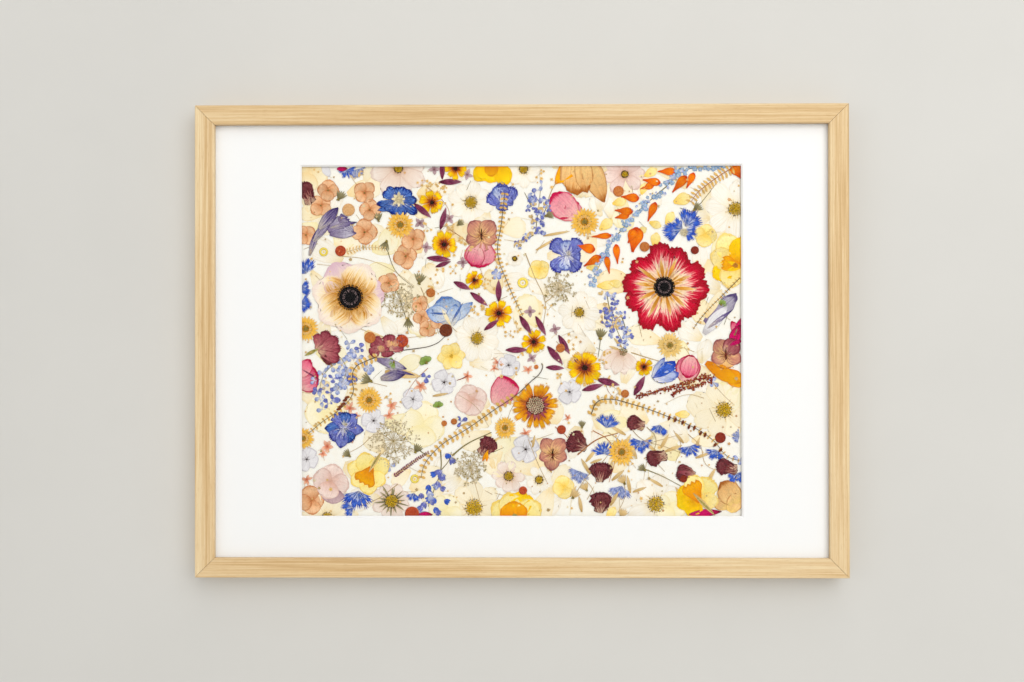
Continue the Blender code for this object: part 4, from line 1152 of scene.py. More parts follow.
# cornflowers: fringed trumpets in a fan, their sizes as shares of the reach
def cornflower(x, z, reach, start, spread, count, finish="blue", height=smallHeight):
    layers = [  # shape, lift, how many, length, width, paint, wobble, how much they vary
        ("fringe", 0, count * 2, 1, 0.27, finish, 7, 0.22),
        ("fringe", 0.12, count, 0.68, 0.22, "lavender", 9, 0.2),
        ("needle", 0.2, count, 0.5, 0.06, "deepBlue", 8, 0.08)]
    twins = []
    for shape, lift, number, length, width, colour, wobble, vary in layers:
        twins += ring(petal[shape], x, z, height + lift, number, reach * length, reach * width, colour,
                      start, spread, wobble=wobble, vary=vary)
    return twins


largeCornflower = [  # x, z, reach, first angle, spread, florets, lift
    (178, 124, 17, 158, 70, 8, 0), (184, 128, 18, 10, 100, 10, 0.06), (180, 125, 12, 100, 90, 7, 0.12),
    (183, 124, 13, -70, 90, 6, 0)]
twins = []
for x, z, reach, start, spread, count, lift in largeCornflower:
    twins += cornflower(x, z, reach, start, spread, count, height=mainHeight + lift)
twins += boss(182, 121, mainHeight + 0.4, 4.4, 1.7, 26, "creamBead")
gather("petals_of_cornflower", twins, "petal_blue", "cornflower")
cornflowerSet = [  # x, z, reach, first angle, spread, florets, paint
    (-241, 76, 15, 40, 150, 8, "blue"), (-247, 60, 11, -60, 120, 6, "blue"),
    (-247, 42, 12, -60, 120, 6, "blue"), (95, -97, 14, 20, 120, 7, "blue"),
    (93, -126, 13, -10, 200, 8, "blue"), (134, -112, 12, 170, 200, 9, "blue"),
    (155, -94, 11, 200, 130, 6, "blue"), (187, -118, 12, 190, 200, 8, "blue"),
    (218, -122, 11, 180, 150, 7, "blue"), (-182, -168, 19, 200, 130, 9, "blue"),
    (-188, -186, 12, 150, 120, 5, "blue"), (240, -148, 11, 190, 200, 8, "blue"),
    (66, -146, 12, 170, 180, 7, "lavender"), (112, -162, 14, 200, 120, 7, "lavender"),
    (-120, -170, 10, 200, 120, 5, "blue"), (-195, 192, 9, 180, 220, 7, "blue"),
    (-184, 192, 9, 190, 200, 6, "lavender"), (243, -107, 8, 100, 170, 5, "lavender")]
twins = []
for x, z, reach, start, spread, count, finish in cornflowerSet:
    twins += cornflower(x, z, reach, start, spread, count, finish)
gather("small_cornflowers", twins, "petal_blue")
print("single blooms and cornflowers are down")


# four-petalled florets: hydrangea, phlox and mauve crosses
def crossFloret(x, z, reach, shape, finish, eye="darkBead", height=smallHeight, fat=1.12):
    start = dice.uniform(0, 90)
    twins = ring(petal[shape], x, z, height, 4, reach, reach * fat, finish, start, wobble=5, relief=0.8)
    twins += boss(x, z, height + 0.35, reach * 0.07, reach * 0.07, 6, eye)
    return twins


hydrangeas = [
    (-216, 169, 13), (-224, 152, 13), (-175, 166, 13), (-169, 147, 12), (-175, 122, 15), (-121, 114, 14),
    (-129, 95, 14), (-148, 65, 12), (-113, 42, 10), (-111, 27, 10), (-105, 14, 10), (-93, 22, 10),
    (-241, 119, 12)]
phloxes = [
    (-86, -46, 14), (-14, -27, 13), (-121, -65, 12), (-165, -89, 13), (54, -57, 14), (5, -121, 16),
    (-240, -132, 13)]
crosses = [
    (-113, 132), (-80, 137), (-60, 186), (-97, 192), (-106, 105), (10, 33), (38, 13), (12, -19),
    (-65, 88)]
twins = []
for x, z, reach in hydrangeas:
    twins += crossFloret(x, z, reach, "round", "peach", "oliveBead", smallHeight + 0.1)
gather("hydrangea_florets", twins, "petal_peach")
twins = []
for x, z, reach in phloxes:
    twins += crossFloret(x, z, reach, "square", "lilacGrey")
    twins += ring(straw, x, z, smallHeight + 0.4, 5, reach * 0.3, 0.4, "darkBead", dice.uniform(0, 90),
                  wobble=12, relief=0.3)
gather("phlox_florets", twins, "petal_cream")
twins = []
for x, z in crosses:
    twins += crossFloret(x, z, 6.5, "slim", "mauve", "wineDisc", fat=0.62)
gather("mauve_florets", twins, "petal_blush")
paleDiscs = [(-56, -66, 19, "blushDisc"), (-213, -158, 20, "blushDisc"), (206, 118, 13, "paleYellow"),
             (20, 80, 12, "paleYellow"), (47, -163, 13, "paleYellow"), (-220, -80, 24, "creamYellow"),
             (-110, -95, 26, "creamYellow"), (-85, -190, 20, "creamYellow"), (165, -185, 18, "creamYellow"),
             (-238, 188, 22, "warmCream"), (-235, -178, 16, "peach")]
twins = []
for x, z, reach, finish in paleDiscs:
    twins += ring(petal["round"], x, z, lowHeight + 0.2, 4, reach, reach * 1.2, finish, dice.uniform(0, 90),
                  wobble=6, relief=0.7)
twins.append(laid(petal["round"], -210, -166, smallHeight, 268, 16, 24, 0.8, "mauve"))
gather("pale_discs", twins, "petal_cream")


# loose petals, each by its middle: x, z, angle, length, width
def loose(shape, spots, finish, height=smallHeight):
    return [laid(petal[shape], *onward(x, z, angle, -length / 2), height + dice.uniform(0, 0.3), angle,
                 length, width, 1.0, finish) for x, z, angle, length, width in spots]


burgundySlim = [
    (-110, 146, -40, 24, 7), (-79, 178, 0, 25, 7), (-87, 137, 75, 25, 6.5), (-92, 92, -5, 26, 7),
    (-87, 86, 20, 18, 5), (-66, 62, -25, 20, 7), (-47, 47, -38, 24, 7), (-25, 56, 90, 24, 7),
    (-33, 18, 35, 20, 6), (5, 18, -58, 24, 7), (22, 17, -62, 24, 6.5), (-5, -10, 0, 24, 7),
    (38, -16, -50, 26, 8), (38, -30, -3, 20, 6), (48, -4, -60, 24, 7), (97, -46, -15, 26, 8),
    (80, -52, 15, 24, 7), (132, -50, 60, 24, 8), (-88, 192, 90, 22, 6), (62, -22, 130, 12, 4)]
gather("burgundy_petals", loose("slim", burgundySlim, "burgundy", mainHeight), "petal_burgundy")
calendulas = [
    (163, 189, 0, 20, 9), (177, 175, 50, 24, 10), (189, 179, 65, 19, 8), (146, 178, -10, 20, 9),
    (141, 172, 20, 16, 8), (122, 160, -5, 20, 10), (146, 144, 68, 23, 9), (115, 145, -4, 20, 9),
    (113, 139, 12, 16, 8), (127, 113, 80, 28, 18), (90, 117, 4, 22, 7), (73, 104, -14, 20, 11),
    (80, 89, 30, 22, 10), (97, 85, 100, 20, 7), (107, 97, 95, 22, 8), (241, 189, 120, 18, 14),
    (124, 117, 60, 18, 9)]
gather("calendula_petals", loose("drop", calendulas, "calendula", mainHeight), "petal_orange")
tulips = [
    (128, -92, 165, 22, 16), (151, -130, 200, 25, 17), (229, -141, 170, 26, 17), (89, -180, 100, 24, 24),
    (-38, -118, 60, 24, 20), (-240, 166, 120, 28, 18), (62, -109, 130, 12, 9)]
twins = []
for x, z, angle, length, width in tulips:
    for turn, shape, share in ((-14, "wavy", 0.96), (15, "wavy", 0.9), (0, "flare", 0.84)):
        part = (x, z, angle + turn, length * share, width * share)
        twins += loose(shape, [part], "maroon", smallHeight + 0.2)
mauveSpots = [
    (-160, -3, 140, 17, 15), (-147, 0, 100, 16, 14), (-139, -7, 20, 16, 13), (-163, -11, 220, 15, 13),
    (-150, -11, 280, 15, 14), (-134, 0, 60, 15, 12), (-154, -7, 10, 14, 10)]
twins += loose("wavy", mauveSpots, "mauveMaroon", smallHeight + 0.2)
mauveMiddles = [(-148, -3, 200, 9, 8), (-156, -9, -60, 8, 7), (-140, -2, 60, 8, 7)]
twins += loose("round", mauveMiddles, "pansy", smallHeight + 0.5)
twins += loose("slim", [(-40, -128, 62, 14, 4), (-38, -129, 84, 11, 3)], "orange", smallHeight + 0.6)
gather("tulip_petals", twins, "petal_burgundy")
roses = [(-240, -40, 20, 26, 36), (-242, -30, 60, 22, 16), (240, 12, 120, 22, 10)]
twins = loose("round", roses, "pink", smallHeight)
twins += loose("slim", [(-236, -37, 150, 24, 2)], "burgundy", mainHeight)
gather("pink_petals", twins, "petal_pink")
yellows = [
    (145, 188, 30, 16, 10), (137, 170, 70, 14, 9), (180, 158, 20, 20, 14), (166, 137, 60, 16, 10),
    (150, 130, -20, 14, 9), (135, 123, 30, 12, 8), (150, 113, 80, 16, 11), (110, 155, 15, 16, 10),
    (95, 130, 40, 18, 12), (80, 82, 0, 14, 8), (95, 62, 5, 20, 10), (105, 64, -10, 16, 9),
    (180, -82, 0, 16, 9), (100, -193, 60, 18, 10)]
twins = loose("broad", yellows, "paleYellow", lowHeight + 0.3)
topYellows = [(-33, 190, 270, 26, 34), (-20, 186, 300, 24, 20), (-44, 188, 230, 22, 18)]
twins += loose("round", topYellows, "yellow", smallHeight)
twins += loose("cup", [(-33, 192, 268, 16, 15)], "orange", smallHeight + 0.4)
twins += loose("tongue", [(225, -36, -32, 44, 16), (238, -42, -40, 28, 18)], "orange", smallHeight)
cornerTulips = [(232, -170, 120, 30, 26), (238, -180, 60, 24, 18), (222, -182, 150, 18, 14)]
twins += loose("cup", cornerTulips, "tulip", smallHeight)
gather("yellow_petals", twins, "petal_yellow")
twins = ring(petal["round"], -78, -17, lowHeight + 0.4, 6, 16, 13, "paleYellow", 10)
twins += ring(petal["round"], -78, -17, smallHeight, 6, 9, 8, "yellow", 30)
twins += boss(-78, -17, smallHeight + 0.4, 2.2, 1.0, 12, "goldBead")
twins += ring(petal["broad"], 112, -12, smallHeight, 5, 25, 15, "blushWhite", 205, 130, wobble=6)
twins += boss(114, -12, smallHeight + 0.5, 4.5, 1.5, 24, "oliveBead")
twins += loose("needle", [(108, -2, 130, 14, 3), (104, -8, 160, 12, 3)], "tanLeaf")
gather("yellow_rosette", twins, "petal_yellow")
crimsonBits = [
    (-200, 193, 0, 12, 6), (205, -192, 5, 36, 9), (-107, -194, 0, 16, 7), (238, 2, 60, 24, 4),
    (240, -2, 20, 16, 5)]
twins = loose("slim", crimsonBits, "magenta", smallHeight + 0.2)
twins += loose("tongue", [(239, 6, 66, 26, 13), (243, 16, 70, 22, 8)], "magenta", mainHeight)
gather("crimson_bits", twins, "petal_red")
print("florets and loose petals are down")

# ferns and leafy stalks
ferns = {
    "fern_middle": dict(points=[(-18, 165), (-22, 130), (-26, 98), (-15, 65), (-5, 42), (2, 28)], gap=5.2,
        leafLength=4.8, leafWidth=2.8, stalk=0.4),
    "fern_left": dict(points=[(-162, -18), (-175, -23), (-186, -30), (-189, -42), (-188, -58), (-205, -78),
        (-222, -90), (-240, -105)], gap=5.6, leafLength=5.8, leafWidth=3.3, stalk=0.45),
    "fern_long": dict(points=[(23, -25), (24, -30), (8, -48), (-5, -60), (-30, -77), (-60, -98),
        (-90, -117), (-108, -138), (-112, -153)], gap=6.4, leafLength=6.2, leafWidth=3.7, stalk=0.5,
        skip=8, taper=0.8),
    "fern_right": dict(points=[(78, -82), (85, -68), (95, -65), (125, -71), (160, -83), (195, -98),
        (215, -112), (230, -129), (244, -134)], gap=6.2, leafLength=6.0, leafWidth=3.4, stalk=0.45,
        taper=0.35),
    "fern_top": dict(points=[(236, 193), (220, 183), (205, 172), (196, 164), (190, 155)], gap=4.6,
        leafLength=7, leafWidth=2.4, stalk=0.5, stalkFinish="rustStem", lean=76, taper=0.9),
    "fern_edge": dict(points=[(244, 70), (226, 52), (210, 36), (198, 22), (192, 13)], gap=4.2,
        leafLength=2.6, leafWidth=1.6, stalk=0.4),
    "sprig_faint": dict(points=[(-195, 100), (-180, 104), (-165, 105), (-150, 103)], gap=3.6,
        leafLength=4.5, leafWidth=1.6, stalk=0.25, leafFinish="gold", stalkFinish="tanStem"),
}
for name, facts in ferns.items():
    gather(name, leafy(height=mainHeight + 0.3, **facts), "petal_orange")
darkSpots = [
    (-195, -63, 20), (-197, -66, 200), (-199, -70, 15), (-202, -73, 200), (-204, -76, 15), (165, -86, 70),
    (172, -88, 250), (180, -91, 70), (187, -96, 250), (193, -97, 75), (200, -103, 240), (205, -105, 70),
    (216, -116, 230), (222, -122, 40)]
darkLeaves = [(x, z, angle, 5.5, 3) for x, z, angle in darkSpots]
gather("dark_leaflets", loose("speck", darkLeaves, "brownDisc", mainHeight + 0.5), "petal_brown")


# umbels: rays that end in little heads, near, far and between in turn
umbelSet = {"heads": (0.34, 0.76, 0.56), "headStalks": 7, "headSpread": 120}


def umbel(x, z, reach, rays):
    twins = boss(x, z, smallHeight, 1.4, 0.9, 8, "oliveBead")
    for i in range(rays):
        angle = 360 * i / rays + dice.uniform(-8, 8)
        far = reach * umbelSet["heads"][i % 3] * dice.uniform(0.85, 1.15)
        twins.append(laid(straw, x, z, smallHeight + 0.1, angle, far, 0.6, 0.4, "umbelTan"))
        head = onward(x, z, angle, far)
        for k in range(umbelSet["headStalks"]):
            side = angle + dice.uniform(-umbelSet["headSpread"], umbelSet["headSpread"])
            short = reach * dice.uniform(0.06, 0.2)
            twins.append(laid(straw, *head, smallHeight + 0.15, side, short, 0.5, 0.3, "umbelTan"))
            twins.append(laid(floret["star5"], *onward(*head, side, short), smallHeight + 0.3, side,
                              dice.uniform(0.8, 1.4), None, 0.4,
                              dice.choice(["umbelTan"] * 4 + ["oliveBead"])))
    return twins


umbels = [(-135, 45, 23, 30), (42, 58, 20, 27), (-143, -112, 29, 40), (-57, -142, 21, 32)]
for number, (x, z, reach, rays) in enumerate(umbels):
    gather("umbel_%d" % (number + 1), umbel(x, z, reach, rays), "petal_cream")
print("ferns and umbels are down")


# flower spikes and sprays
def spray(spots, size, finish, shapes=("soft5",), height=smallHeight, eye=None):
    twins = []
    for x, z in spots:
        reach = size * dice.uniform(0.75, 1.2)
        twins.append(laid(floret[dice.choice(shapes)], x, z, height + dice.uniform(0, 0.5),
                          dice.uniform(0, 360), reach, reach * dice.uniform(0.8, 1.1), 1.0, finish))
        if eye:
            twins.append(laid(bead, x, z, height + 0.55, 0, reach * 0.3, reach * 0.3, reach * 0.3, eye))
    return twins


def along(points, gap, aside):
    # places strewn on both sides of a line
    return [(x + aside * dice.uniform(-1, 1), z + aside * dice.uniform(-1, 1))
            for x, z, way in smoothWalk(points, gap)]


forgetLine = [
    (178, 193), (165, 175), (150, 162), (137, 150), (125, 140), (115, 127), (105, 115), (95, 100), (88, 85),
    (78, 62)]
forgetTop = [(232, 196), (215, 192), (200, 193), (185, 191), (175, 186)]
twins = [stem(forgetLine, 0.6, stemHeight, "oliveStem"), stem(forgetTop, 0.5, stemHeight, "oliveStem")]
twins += spray(along(forgetLine, 2.1, 4.4), 2.4, "forget", eye="creamBead")
twins += spray(along(forgetTop, 2.4, 3.6), 2.6, "forget", eye="creamBead")
twins += spray(along(forgetLine, 4.5, 5), 2.2, "lavender", ("star5", "soft5"))
gather("forget_me_not", twins, "petal_blue")

larkspurTwigs = [
    ([(16, 120), (18, 135), (20, 150), (22, 170)], 9, 5.0, 2.6),
    ([(12, 150), (8, 158), (4, 166)], 5, 4.0, 3), ([(24, 140), (28, 148), (30, 156)], 4, 4.0, 3),
    ([(14, 118), (-6, 108), (-8, 104)], 4, 3.6, 3.4),
    ([(96, 52), (98, 40), (102, 25), (108, 10), (114, -2)], 7, 4.6, 2.2),
    ([(92, 34), (96, 22), (100, 12)], 5, 4.4, 3), ([(112, 28), (116, 16), (118, 4)], 5, 4.4, 3)]
twins = []
for line, aside, size, gap in larkspurTwigs:
    twins.append(stem(line, 0.5, stemHeight, "oliveStem"))
    for x, z in along(line, gap, aside):
        height = smallHeight + dice.uniform(0, 0.4)
        angles = [dice.uniform(0, 360) for k in range(3)]
        finish = dice.choice(["violetBlue", "lavender", "violetBlue", "lavender", "tanLeaf"])
        twins += fanOf(petal["drop"], x, z, height, angles, size * 1.1, size * 0.62, finish)
gather("larkspur_sprays", twins, "petal_blue")

lilacSpots = [
    (-192, -3), (-180, -8), (-183, -20), (-192, -18), (-200, -25), (-212, -28), (-222, -35), (-203, -36),
    (-195, -34), (-220, -50), (-228, -56), (-213, -58), (-205, -53), (-225, -63), (-186, -12), (-210, -42),
    (-231, -44), (-198, -47), (-216, -70), (-222, -76), (-147, -140), (-28, 74), (-106, -40), (-67, -90),
    (214, -46), (243, -133), (-171, -30), (-190, -42)]
twins = []
for x, z in lilacSpots:
    count = dice.choice((3, 4, 5))
    finish = dice.choice(["lavender", "lavender", "violetBlue", "lavender"])
    twins += ring(petal["drop"], x, z, smallHeight, count, 6.4, 4.6, finish, dice.uniform(0, 72), wobble=22,
                  vary=0.25)
twins.append(laid(petal["round"], -211, -66, smallHeight + 0.3, 0, 9, 6.5, 1.0, "violetBlue"))
gather("lilac_spray", twins, "petal_blue")

bellLine = [(-90, -122), (-90, -145), (-97, -165), (-104, -185)]
bellBranch = [(-90, -145), (-80, -132), (-78, -124)]
bellSpots = [
    (-102, -172), (-110, -185), (-96, -190), (-86, -178), (-92, -160), (-112, -170), (-84, -126),
    (-78, -130)]
twins = [stem(bellLine, 0.7, stemHeight, "oliveStem"), stem(bellBranch, 0.5, stemHeight, "oliveStem")]
for x, z in along(bellLine[1:], 2.6, 8) + bellSpots:
    way = dice.uniform(200, 340)
    height = smallHeight + dice.uniform(0, 0.4)
    length = dice.uniform(6, 9)
    finish = dice.choice(["blue", "violetBlue", "lavender"])
    twins += fanOf(petal["tongue"], x, z, height, [way - 24, way, way + 24], length, 3.6, finish)
gather("bluebell_sprig", twins, "petal_blue")

# sweet peas, drawn out and curled: shape, foot x, foot z, angle, length, width, paint, extra height
sweetPeas = [
    ("tongue", -237, 96, 72, 32, 7, "sweetPea", 0.2), ("tongue", -232, 112, 54, 36, 10, "sweetPea", 0.3),
    ("tongue", -226, 126, 48, 32, 13, "sweetPea", 0.5), ("wavy", -216, 124, 24, 27, 20, "pea", 0.2),
    ("tongue", -214, 120, 2, 30, 11, "pea", 0.4), ("tongue", -204, 138, -44, 24, 10, "pea", 0.44),
    ("slim", -213, 127, 12, 30, 6, "sweetPea", 0.5), ("tongue", -162, -20, -18, 36, 10, "pea", 0.3),
    ("tongue", -157, -42, 14, 30, 12, "sweetPea", 0.4), ("tongue", -152, -34, -8, 40, 9, "tanLeaf", 0.2),
    ("slim", -152, -30, -14, 34, 4, "sweetPea", 0.44), ("cup", 206, 20, 42, 46, 20, "pea", 0.2),
    ("tongue", 204, 8, 50, 40, 14, "lilacGrey", 0.3), ("slim", 208, 14, 36, 34, 5, "sweetPea", 0.36),
    ("tongue", 206, 26, 60, 36, 10, "warmCream", 0.4),
    ("tongue", -222, 198, -60, 16, 9, "lilacGrey", 0.2)]
sweetStalk = [(-236, 98), (-233, 112), (-226, 126), (-210, 144)]
twins = [stem(sweetStalk, 1.5, smallHeight, "tanStem", tip=0.5, flat=0.2)]
twins += leavesOf(sweetPeas, smallHeight)
gather("sweet_peas", twins, "petal_blue")
print("sprays are down")


# twigs, stalks, grasses
def grainy(points, gap, aside, grain, finish, tipFinish=None):
    twins = []
    for x, z in along(points, gap, aside):
        height = smallHeight + dice.uniform(0, 0.6)
        size = grain * dice.uniform(0.7, 1.2)
        chosen = tipFinish if tipFinish and dice.random() < 0.3 else finish
        twins.append(laid(bead, x, z, height, 0, size, size, grain * 0.7, chosen))
    return twins


amaranthLines = [
    [(129, -62), (150, -57), (175, -50), (197, -43), (215, -40)], [(187, -54), (196, -50), (206, -46)],
    [(168, -60), (178, -55), (186, -50)], [(202, -38), (208, -42), (214, -46)]]
twins = []
for line in amaranthLines:
    twins.append(stem(line, 0.6, stemHeight, "wineDisc"))
    twins += grainy(line, 0.36, 2.7, 1.9, "amaranth", "rustStem")
gather("amaranth", twins, "petal_red")
catkinLine = [(-142, -151), (-130, -142), (-116, -132), (-103, -124)]
twins = leafy(catkinLine, smallHeight, 2.4, 3.6, 1.7, 0.5, "burgundy", "tanStem", lean=46, taper=0.7)
twins += grainy(catkinLine, 2.2, 0.4, 0.9, "tanStem")
gather("catkin", twins, "petal_brown")

stalks = [  # places along it, radius, finish
    ([(-160, -12), (-122, -9), (-95, -3), (-85, 5)], 0.6, "darkStem"),
    ([(-77, -128), (-62, -116), (-33, -102)], 0.9, "oliveStem"),
    ([(63, -127), (85, -110), (108, -103)], 0.8, "rustStem"),
    ([(123, -13), (145, -20), (170, -27)], 0.6, "tanStem"),
    ([(-200, 95), (-175, 92), (-145, 80), (-120, 62)], 0.3, "tanStem"),
    ([(40, 178), (33, 165), (30, 150), (32, 143)], 0.5, "tanStem"),
    ([(5, 98), (15, 72), (27, 43), (25, 18)], 0.5, "tanStem"),
    ([(27, 43), (36, 50), (42, 58)], 0.5, "tanStem"),
    ([(-190, 18), (-150, 4), (-110, 6), (-86, 12)], 0.35, "tanStem"),
    ([(-135, 45), (-128, 22), (-126, 8)], 0.5, "oliveStem"),
    ([(-150, 103), (-140, 78), (-120, 60)], 0.4, "oliveStem"),
    ([(-112, 60), (-100, 30), (-92, 8)], 0.4, "tanStem"),
    ([(-143, -112), (-160, -104), (-180, -118), (-195, -126)], 0.4, "tanStem"),
    ([(-57, -142), (-50, -165), (-46, -180)], 0.4, "tanStem"),
    ([(-195, 192), (-180, 170), (-160, 150)], 0.3, "tanStem"),
    ([(197, 149), (206, 160), (220, 178)], 0.4, "oliveStem"),
    ([(135, -142), (155, -150), (180, -163)], 0.6, "oliveStem"),
    ([(-60, -39), (-66, -42), (-72, -44)], 0.6, "wineDisc"),
    ([(-116, -120), (-108, -126), (-100, -128)], 0.6, "oliveStem"),
    ([(89, 8), (88, -4), (86, -18)], 0.5, "oliveStem"),
    ([(97, -102), (125, -118), (150, -112), (180, -104)], 0.4, "tanStem"),
    ([(60, -171), (75, -150), (95, -130), (110, -104)], 0.4, "tanStem"),
    ([(-138, -160), (-158, -175), (-178, -184)], 0.5, "tanStem"),
    ([(-105, 172), (-90, 160), (-80, 140), (-92, 122)], 0.3, "rustStem"),
    ([(-80, 125), (-60, 110), (-40, 67)], 0.3, "rustStem"),
    ([(120, -71), (100, -60), (92, -40)], 0.3, "rustStem"),
    ([(213, -46), (225, -60), (238, -72)], 0.3, "tanStem"),
    ([(8, -110), (20, -140), (30, -160)], 0.4, "tanStem"),
    ([(118, -92), (135, -110), (160, -118), (186, -128)], 0.4, "tanStem"),
    ([(80, -100), (98, -112), (104, -132), (98, -158)], 0.45, "rustStem"),
    ([(98, -112), (112, -122), (128, -142)], 0.35, "tanStem"),
    ([(140, -96), (150, -108), (148, -130), (160, -146)], 0.4, "tanStem"),
    ([(170, -100), (178, -116), (172, -136)], 0.35, "tanStem"),
    ([(186, -104), (200, -118), (206, -138), (222, -146)], 0.4, "tanStem"),
    ([(66, -150), (80, -166), (84, -186)], 0.35, "tanStem"),
    ([(112, -150), (116, -170), (108, -192)], 0.4, "tanStem"),
    ([(38, -96), (52, -108), (60, -124)], 0.4, "rustStem"),
    ([(-70, -60), (-50, -74), (-36, -96)], 0.3, "tanStem"),
    ([(-104, -30), (-120, -46), (-134, -70)], 0.3, "rustStem"),
    ([(-210, -10), (-196, -30), (-206, -56)], 0.35, "oliveStem"),
    ([(-206, -22), (-222, -40), (-226, -66)], 0.35, "oliveStem"),
    ([(0, -60), (-14, -84), (-12, -112)], 0.3, "tanStem"),
    ([(204, -64), (186, -60), (160, -70)], 0.3, "tanStem")]
gather("stalks", [stem(line, radius, stemHeight + 0.2, finish) for line, radius, finish in stalks],
       "petal_brown")

# pointed tan leaves, mostly low on the right
leafSpots = [
    (108, -100, 150, 20, 4), (118, -112, 60, 18, 4), (126, -124, 110, 16, 3.6), (140, -112, 40, 20, 4),
    (146, -120, 140, 16, 3.4), (160, -112, 60, 18, 4), (170, -120, 20, 20, 4), (176, -108, 130, 16, 3.4),
    (196, -116, 70, 18, 3.6), (202, -128, 20, 16, 3.4), (78, -128, 50, 18, 4), (72, -140, 120, 20, 4),
    (84, -134, 20, 14, 3), (100, -142, 80, 18, 3.6), (108, -150, 40, 18, 4), (120, -160, 100, 20, 4),
    (104, -176, 60, 18, 4), (132, -166, 20, 16, 3.4), (150, -158, 150, 18, 3.6), (176, -170, 120, 16, 4),
    (66, -182, 100, 18, 4), (58, -168, 60, 14, 3), (212, -150, 60, 18, 4), (240, -164, 100, 16, 4),
    (-90, -60, 10, 18, 3), (-60, -92, 20, 16, 3), (-30, -112, 40, 16, 3), (14, -112, 80, 14, 3),
    (86, -70, 20, 14, 3), (30, -140, 120, 16, 3), (40, 120, 10, 30, 3), (28, 108, 30, 26, 3),
    (-190, 128, 60, 14, 3), (-100, 20, 60, 16, 3), (190, 140, 70, 14, 3)]
gather("tan_leaves", loose("needle", leafSpots, "tanLeaf", smallHeight), "petal_cream")

# seed discs, rings and calyxes
discs = [
    (-193, 147, 7, "tanDisc"), (-202, 101, 6, "redDisc"), (-101, 54, 5, "orangeDisc"),
    (-84, 12, 7.2, "brownDisc"), (-169, 4, 6.3, "orangeDisc"), (-133, 0, 7, "redDisc"),
    (109, 167, 6, "orangeDisc"), (138, 105, 5.5, "orangeDisc"), (194, 101, 4.5, "wineDisc"),
    (44, -8, 5, "orangeDisc"), (17, -29, 2.5, "orangeDisc"), (116, -59, 4.5, "orangeDisc"),
    (-86, -92, 3.2, "orangeDisc"), (-75, -90, 3.5, "orangeDisc"), (45, -99, 5, "redDisc"),
    (222, -108, 6, "wineDisc"), (2, -167, 4.6, "redDisc"), (-122, -193, 8, "redDisc"),
    (181, -154, 4, "wineDisc")]
twins = [laid(seedDisc, x, z, mainHeight + 0.1, 0, size, size, 1.0, finish) for x, z, size, finish in discs]
slices = [(-221, 100, 5), (2, 65, 6), (-119, -154, 5)]
twins += [laid(stalkSlice, x, z, smallHeight + 0.2, 0, size, size, 1.0, "yellowRing")
          for x, z, size in slices]
twins += [laid(bead, x, z, smallHeight + 0.2, 0, 2.4, 2.4, 1.2, "yellowRing") for x, z, size in slices]
gather("seed_discs", twins, "petal_brown")
calyxes = [
    (-202, 163, 60, 13, "sepal"), (-152, 107, 250, 12, "sepal"), (-160, 139, 100, 11, "sepal"),
    (-68, 132, 40, 9, "sepal"), (32, 141, 20, 11, "sepal"), (197, 149, 40, 12, "sepal"),
    (225, 43, 60, 9, "greenLeaf"), (-173, -43, 160, 14, "sepal"), (-108, -20, 120, 12, "greenLeaf"),
    (68, -93, 90, 9, "sepal"), (89, 8, 80, 14, "sepal"), (-195, -126, 140, 11, "sepal"),
    (135, -142, 140, 10, "sepal"), (-116, -120, 60, 12, "sepal"), (-93, -70, 100, 9, "greenLeaf"),
    (113, -155, 120, 12, "tanLeaf"), (113, -192, 60, 12, "tanLeaf"), (60, -171, 60, 12, "tanLeaf"),
    (71, -163, 120, 11, "tanLeaf"), (-146, -25, 200, 10, "greenLeaf"), (240, 10, 60, 9, "sepal"),
    (-113, 70, 80, 14, "sepal"), (-126, 20, 270, 12, "sepal")]
calyxSet = {"greenLeaf": ("wavy", (-60, -20, 20, 60), 0.7, 0.46),  # shape, angles, length, width
            "sepal": ("tongue", (-34, -20, -7, 7, 20, 34), 0.86, 0.17)}
twins = []
for x, z, way, size, finish in calyxes:
    shape, angles, long, broad = calyxSet.get(finish, calyxSet["sepal"])
    foot = onward(x, z, way, -size * 0.4)
    twins += fanOf(petal[shape], *foot, smallHeight + 0.2, [way + angle for angle in angles], size * long,
                   size * broad, finish)
    twins += boss(*foot, smallHeight + 0.4, size * 0.12, size * 0.12, 7, "oliveBead")
gather("calyxes", twins, "petal_brown")

# small coral stars and what is strewn between
corals = [
    (-26, -24, 11), (-112, -50, 14), (-145, -72, 13), (-148, -83, 11), (5, -103, 11), (-240, -155, 12),
    (-217, -118, 14), (-60, -39, 11), (-192, -75, 12), (8, -32, 10), (-190, -108, 11), (-30, -30, 9),
    (-222, -126, 10), (52, -86, 8), (-40, -128, 8), (-185, -84, 10)]
twins = []
for x, z, size in corals:
    twins += ring(petal["tongue"], x, z, smallHeight, 5, size * 0.56, size * 0.26, "coral",
                  dice.uniform(0, 72), wobble=18, vary=0.25)
    twins.append(laid(straw, x, z, smallHeight, dice.uniform(0, 360), size * 0.8, 0.5, 0.4, "tanDisc"))
gather("coral_stars", twins, "petal_orange")

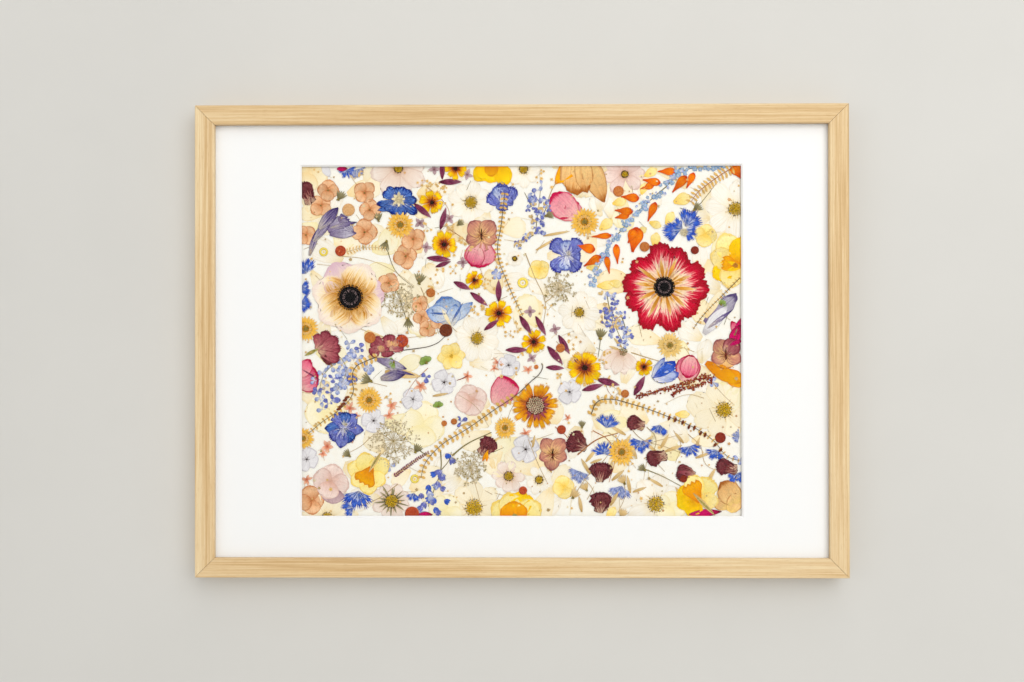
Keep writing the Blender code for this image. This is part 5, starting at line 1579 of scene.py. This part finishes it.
# golden florets strewn by the handful, each on its own hair
handful = {"florets": 5, "reach": 6}
goldSpots = [
    (-105, 172), (-86, 172), (-105, 128), (-80, 125), (-40, 67), (-75, 80), (-65, 112), (-97, 65),
    (-45, 40), (-5, 15), (95, -45), (105, -53), (60, -10), (92, -20), (-110, 180), (-96, 178), (-92, 166),
    (-84, 128), (-72, 120), (-60, 104), (-46, 74), (-34, 62), (-98, 58), (-92, 80), (-52, 34), (-12, 8),
    (0, -14), (62, -18), (96, -10), (106, -60), (84, -40), (-60, 30), (30, 34), (70, -46), (-76, 100),
    (-88, 150), (20, 186), (120, -140), (-10, -36), (-150, -64), (-176, 186), (58, 2), (44, -42),
    (-28, 88)]
twins = []
for x, z in goldSpots:
    for k in range(handful["florets"]):
        dx = dice.uniform(-handful["reach"], handful["reach"])
        dz = dice.uniform(-handful["reach"], handful["reach"])
        twins += spray([(x + dx, z + dz)], 1.9, "gold", ("star5", "soft5"), smallHeight - 0.1)
        twins.append(laid(straw, x + dx, z + dz, smallHeight - 0.2, math.degrees(math.atan2(-dz, -dx)),
                          math.hypot(dx, dz), 0.3, 0.3, "tanStem"))
gather("golden_florets", twins, "petal_cream")
strewnSet = {"bits": 420, "hairs": 120, "halfWide": 243, "halfHigh": 193, "margin": 5}
twins = []
for k in range(strewnSet["bits"]):
    x = dice.uniform(-strewnSet["halfWide"], strewnSet["halfWide"])
    z = dice.uniform(-strewnSet["halfHigh"], strewnSet["halfHigh"])
    size = dice.uniform(0.8, 2.2)
    finish = dice.choice(["gold", "gold", "tanDisc", "tanStem", "creamBead"])
    twins += spray([(x, z)], size, finish, ("star5", "soft5", "star4"), lowHeight + 0.3)
gather("strewn_bits", twins, "petal_cream")
hairWide = strewnSet["halfWide"] - strewnSet["margin"]
hairHigh = strewnSet["halfHigh"] - strewnSet["margin"]
twins = []
for k in range(strewnSet["hairs"]):
    x = dice.uniform(-hairWide, hairWide)
    z = dice.uniform(-hairHigh, hairHigh)
    twins.append(laid(straw, x, z, lowHeight + 0.3, dice.uniform(0, 360), dice.uniform(7, 22),
                      dice.uniform(0.35, 0.7), 0.4,
                      dice.choice(["tanStem"] * 3 + ["oliveStem", "creamBead"])))
gather("loose_hairs", twins, "petal_brown")
whites = [
    (74, 174, 60, 30, 16), (90, 158, 80, 28, 16), (98, 150, 100, 26, 14), (84, 150, 120, 24, 13),
    (80, 168, 40, 22, 12)]
gather("white_petals", loose("broad", whites, "white", lowHeight + 0.2), "petal_cream")
print("everything is laid out")

for master in masters:
    bpy.data.objects.remove(master)
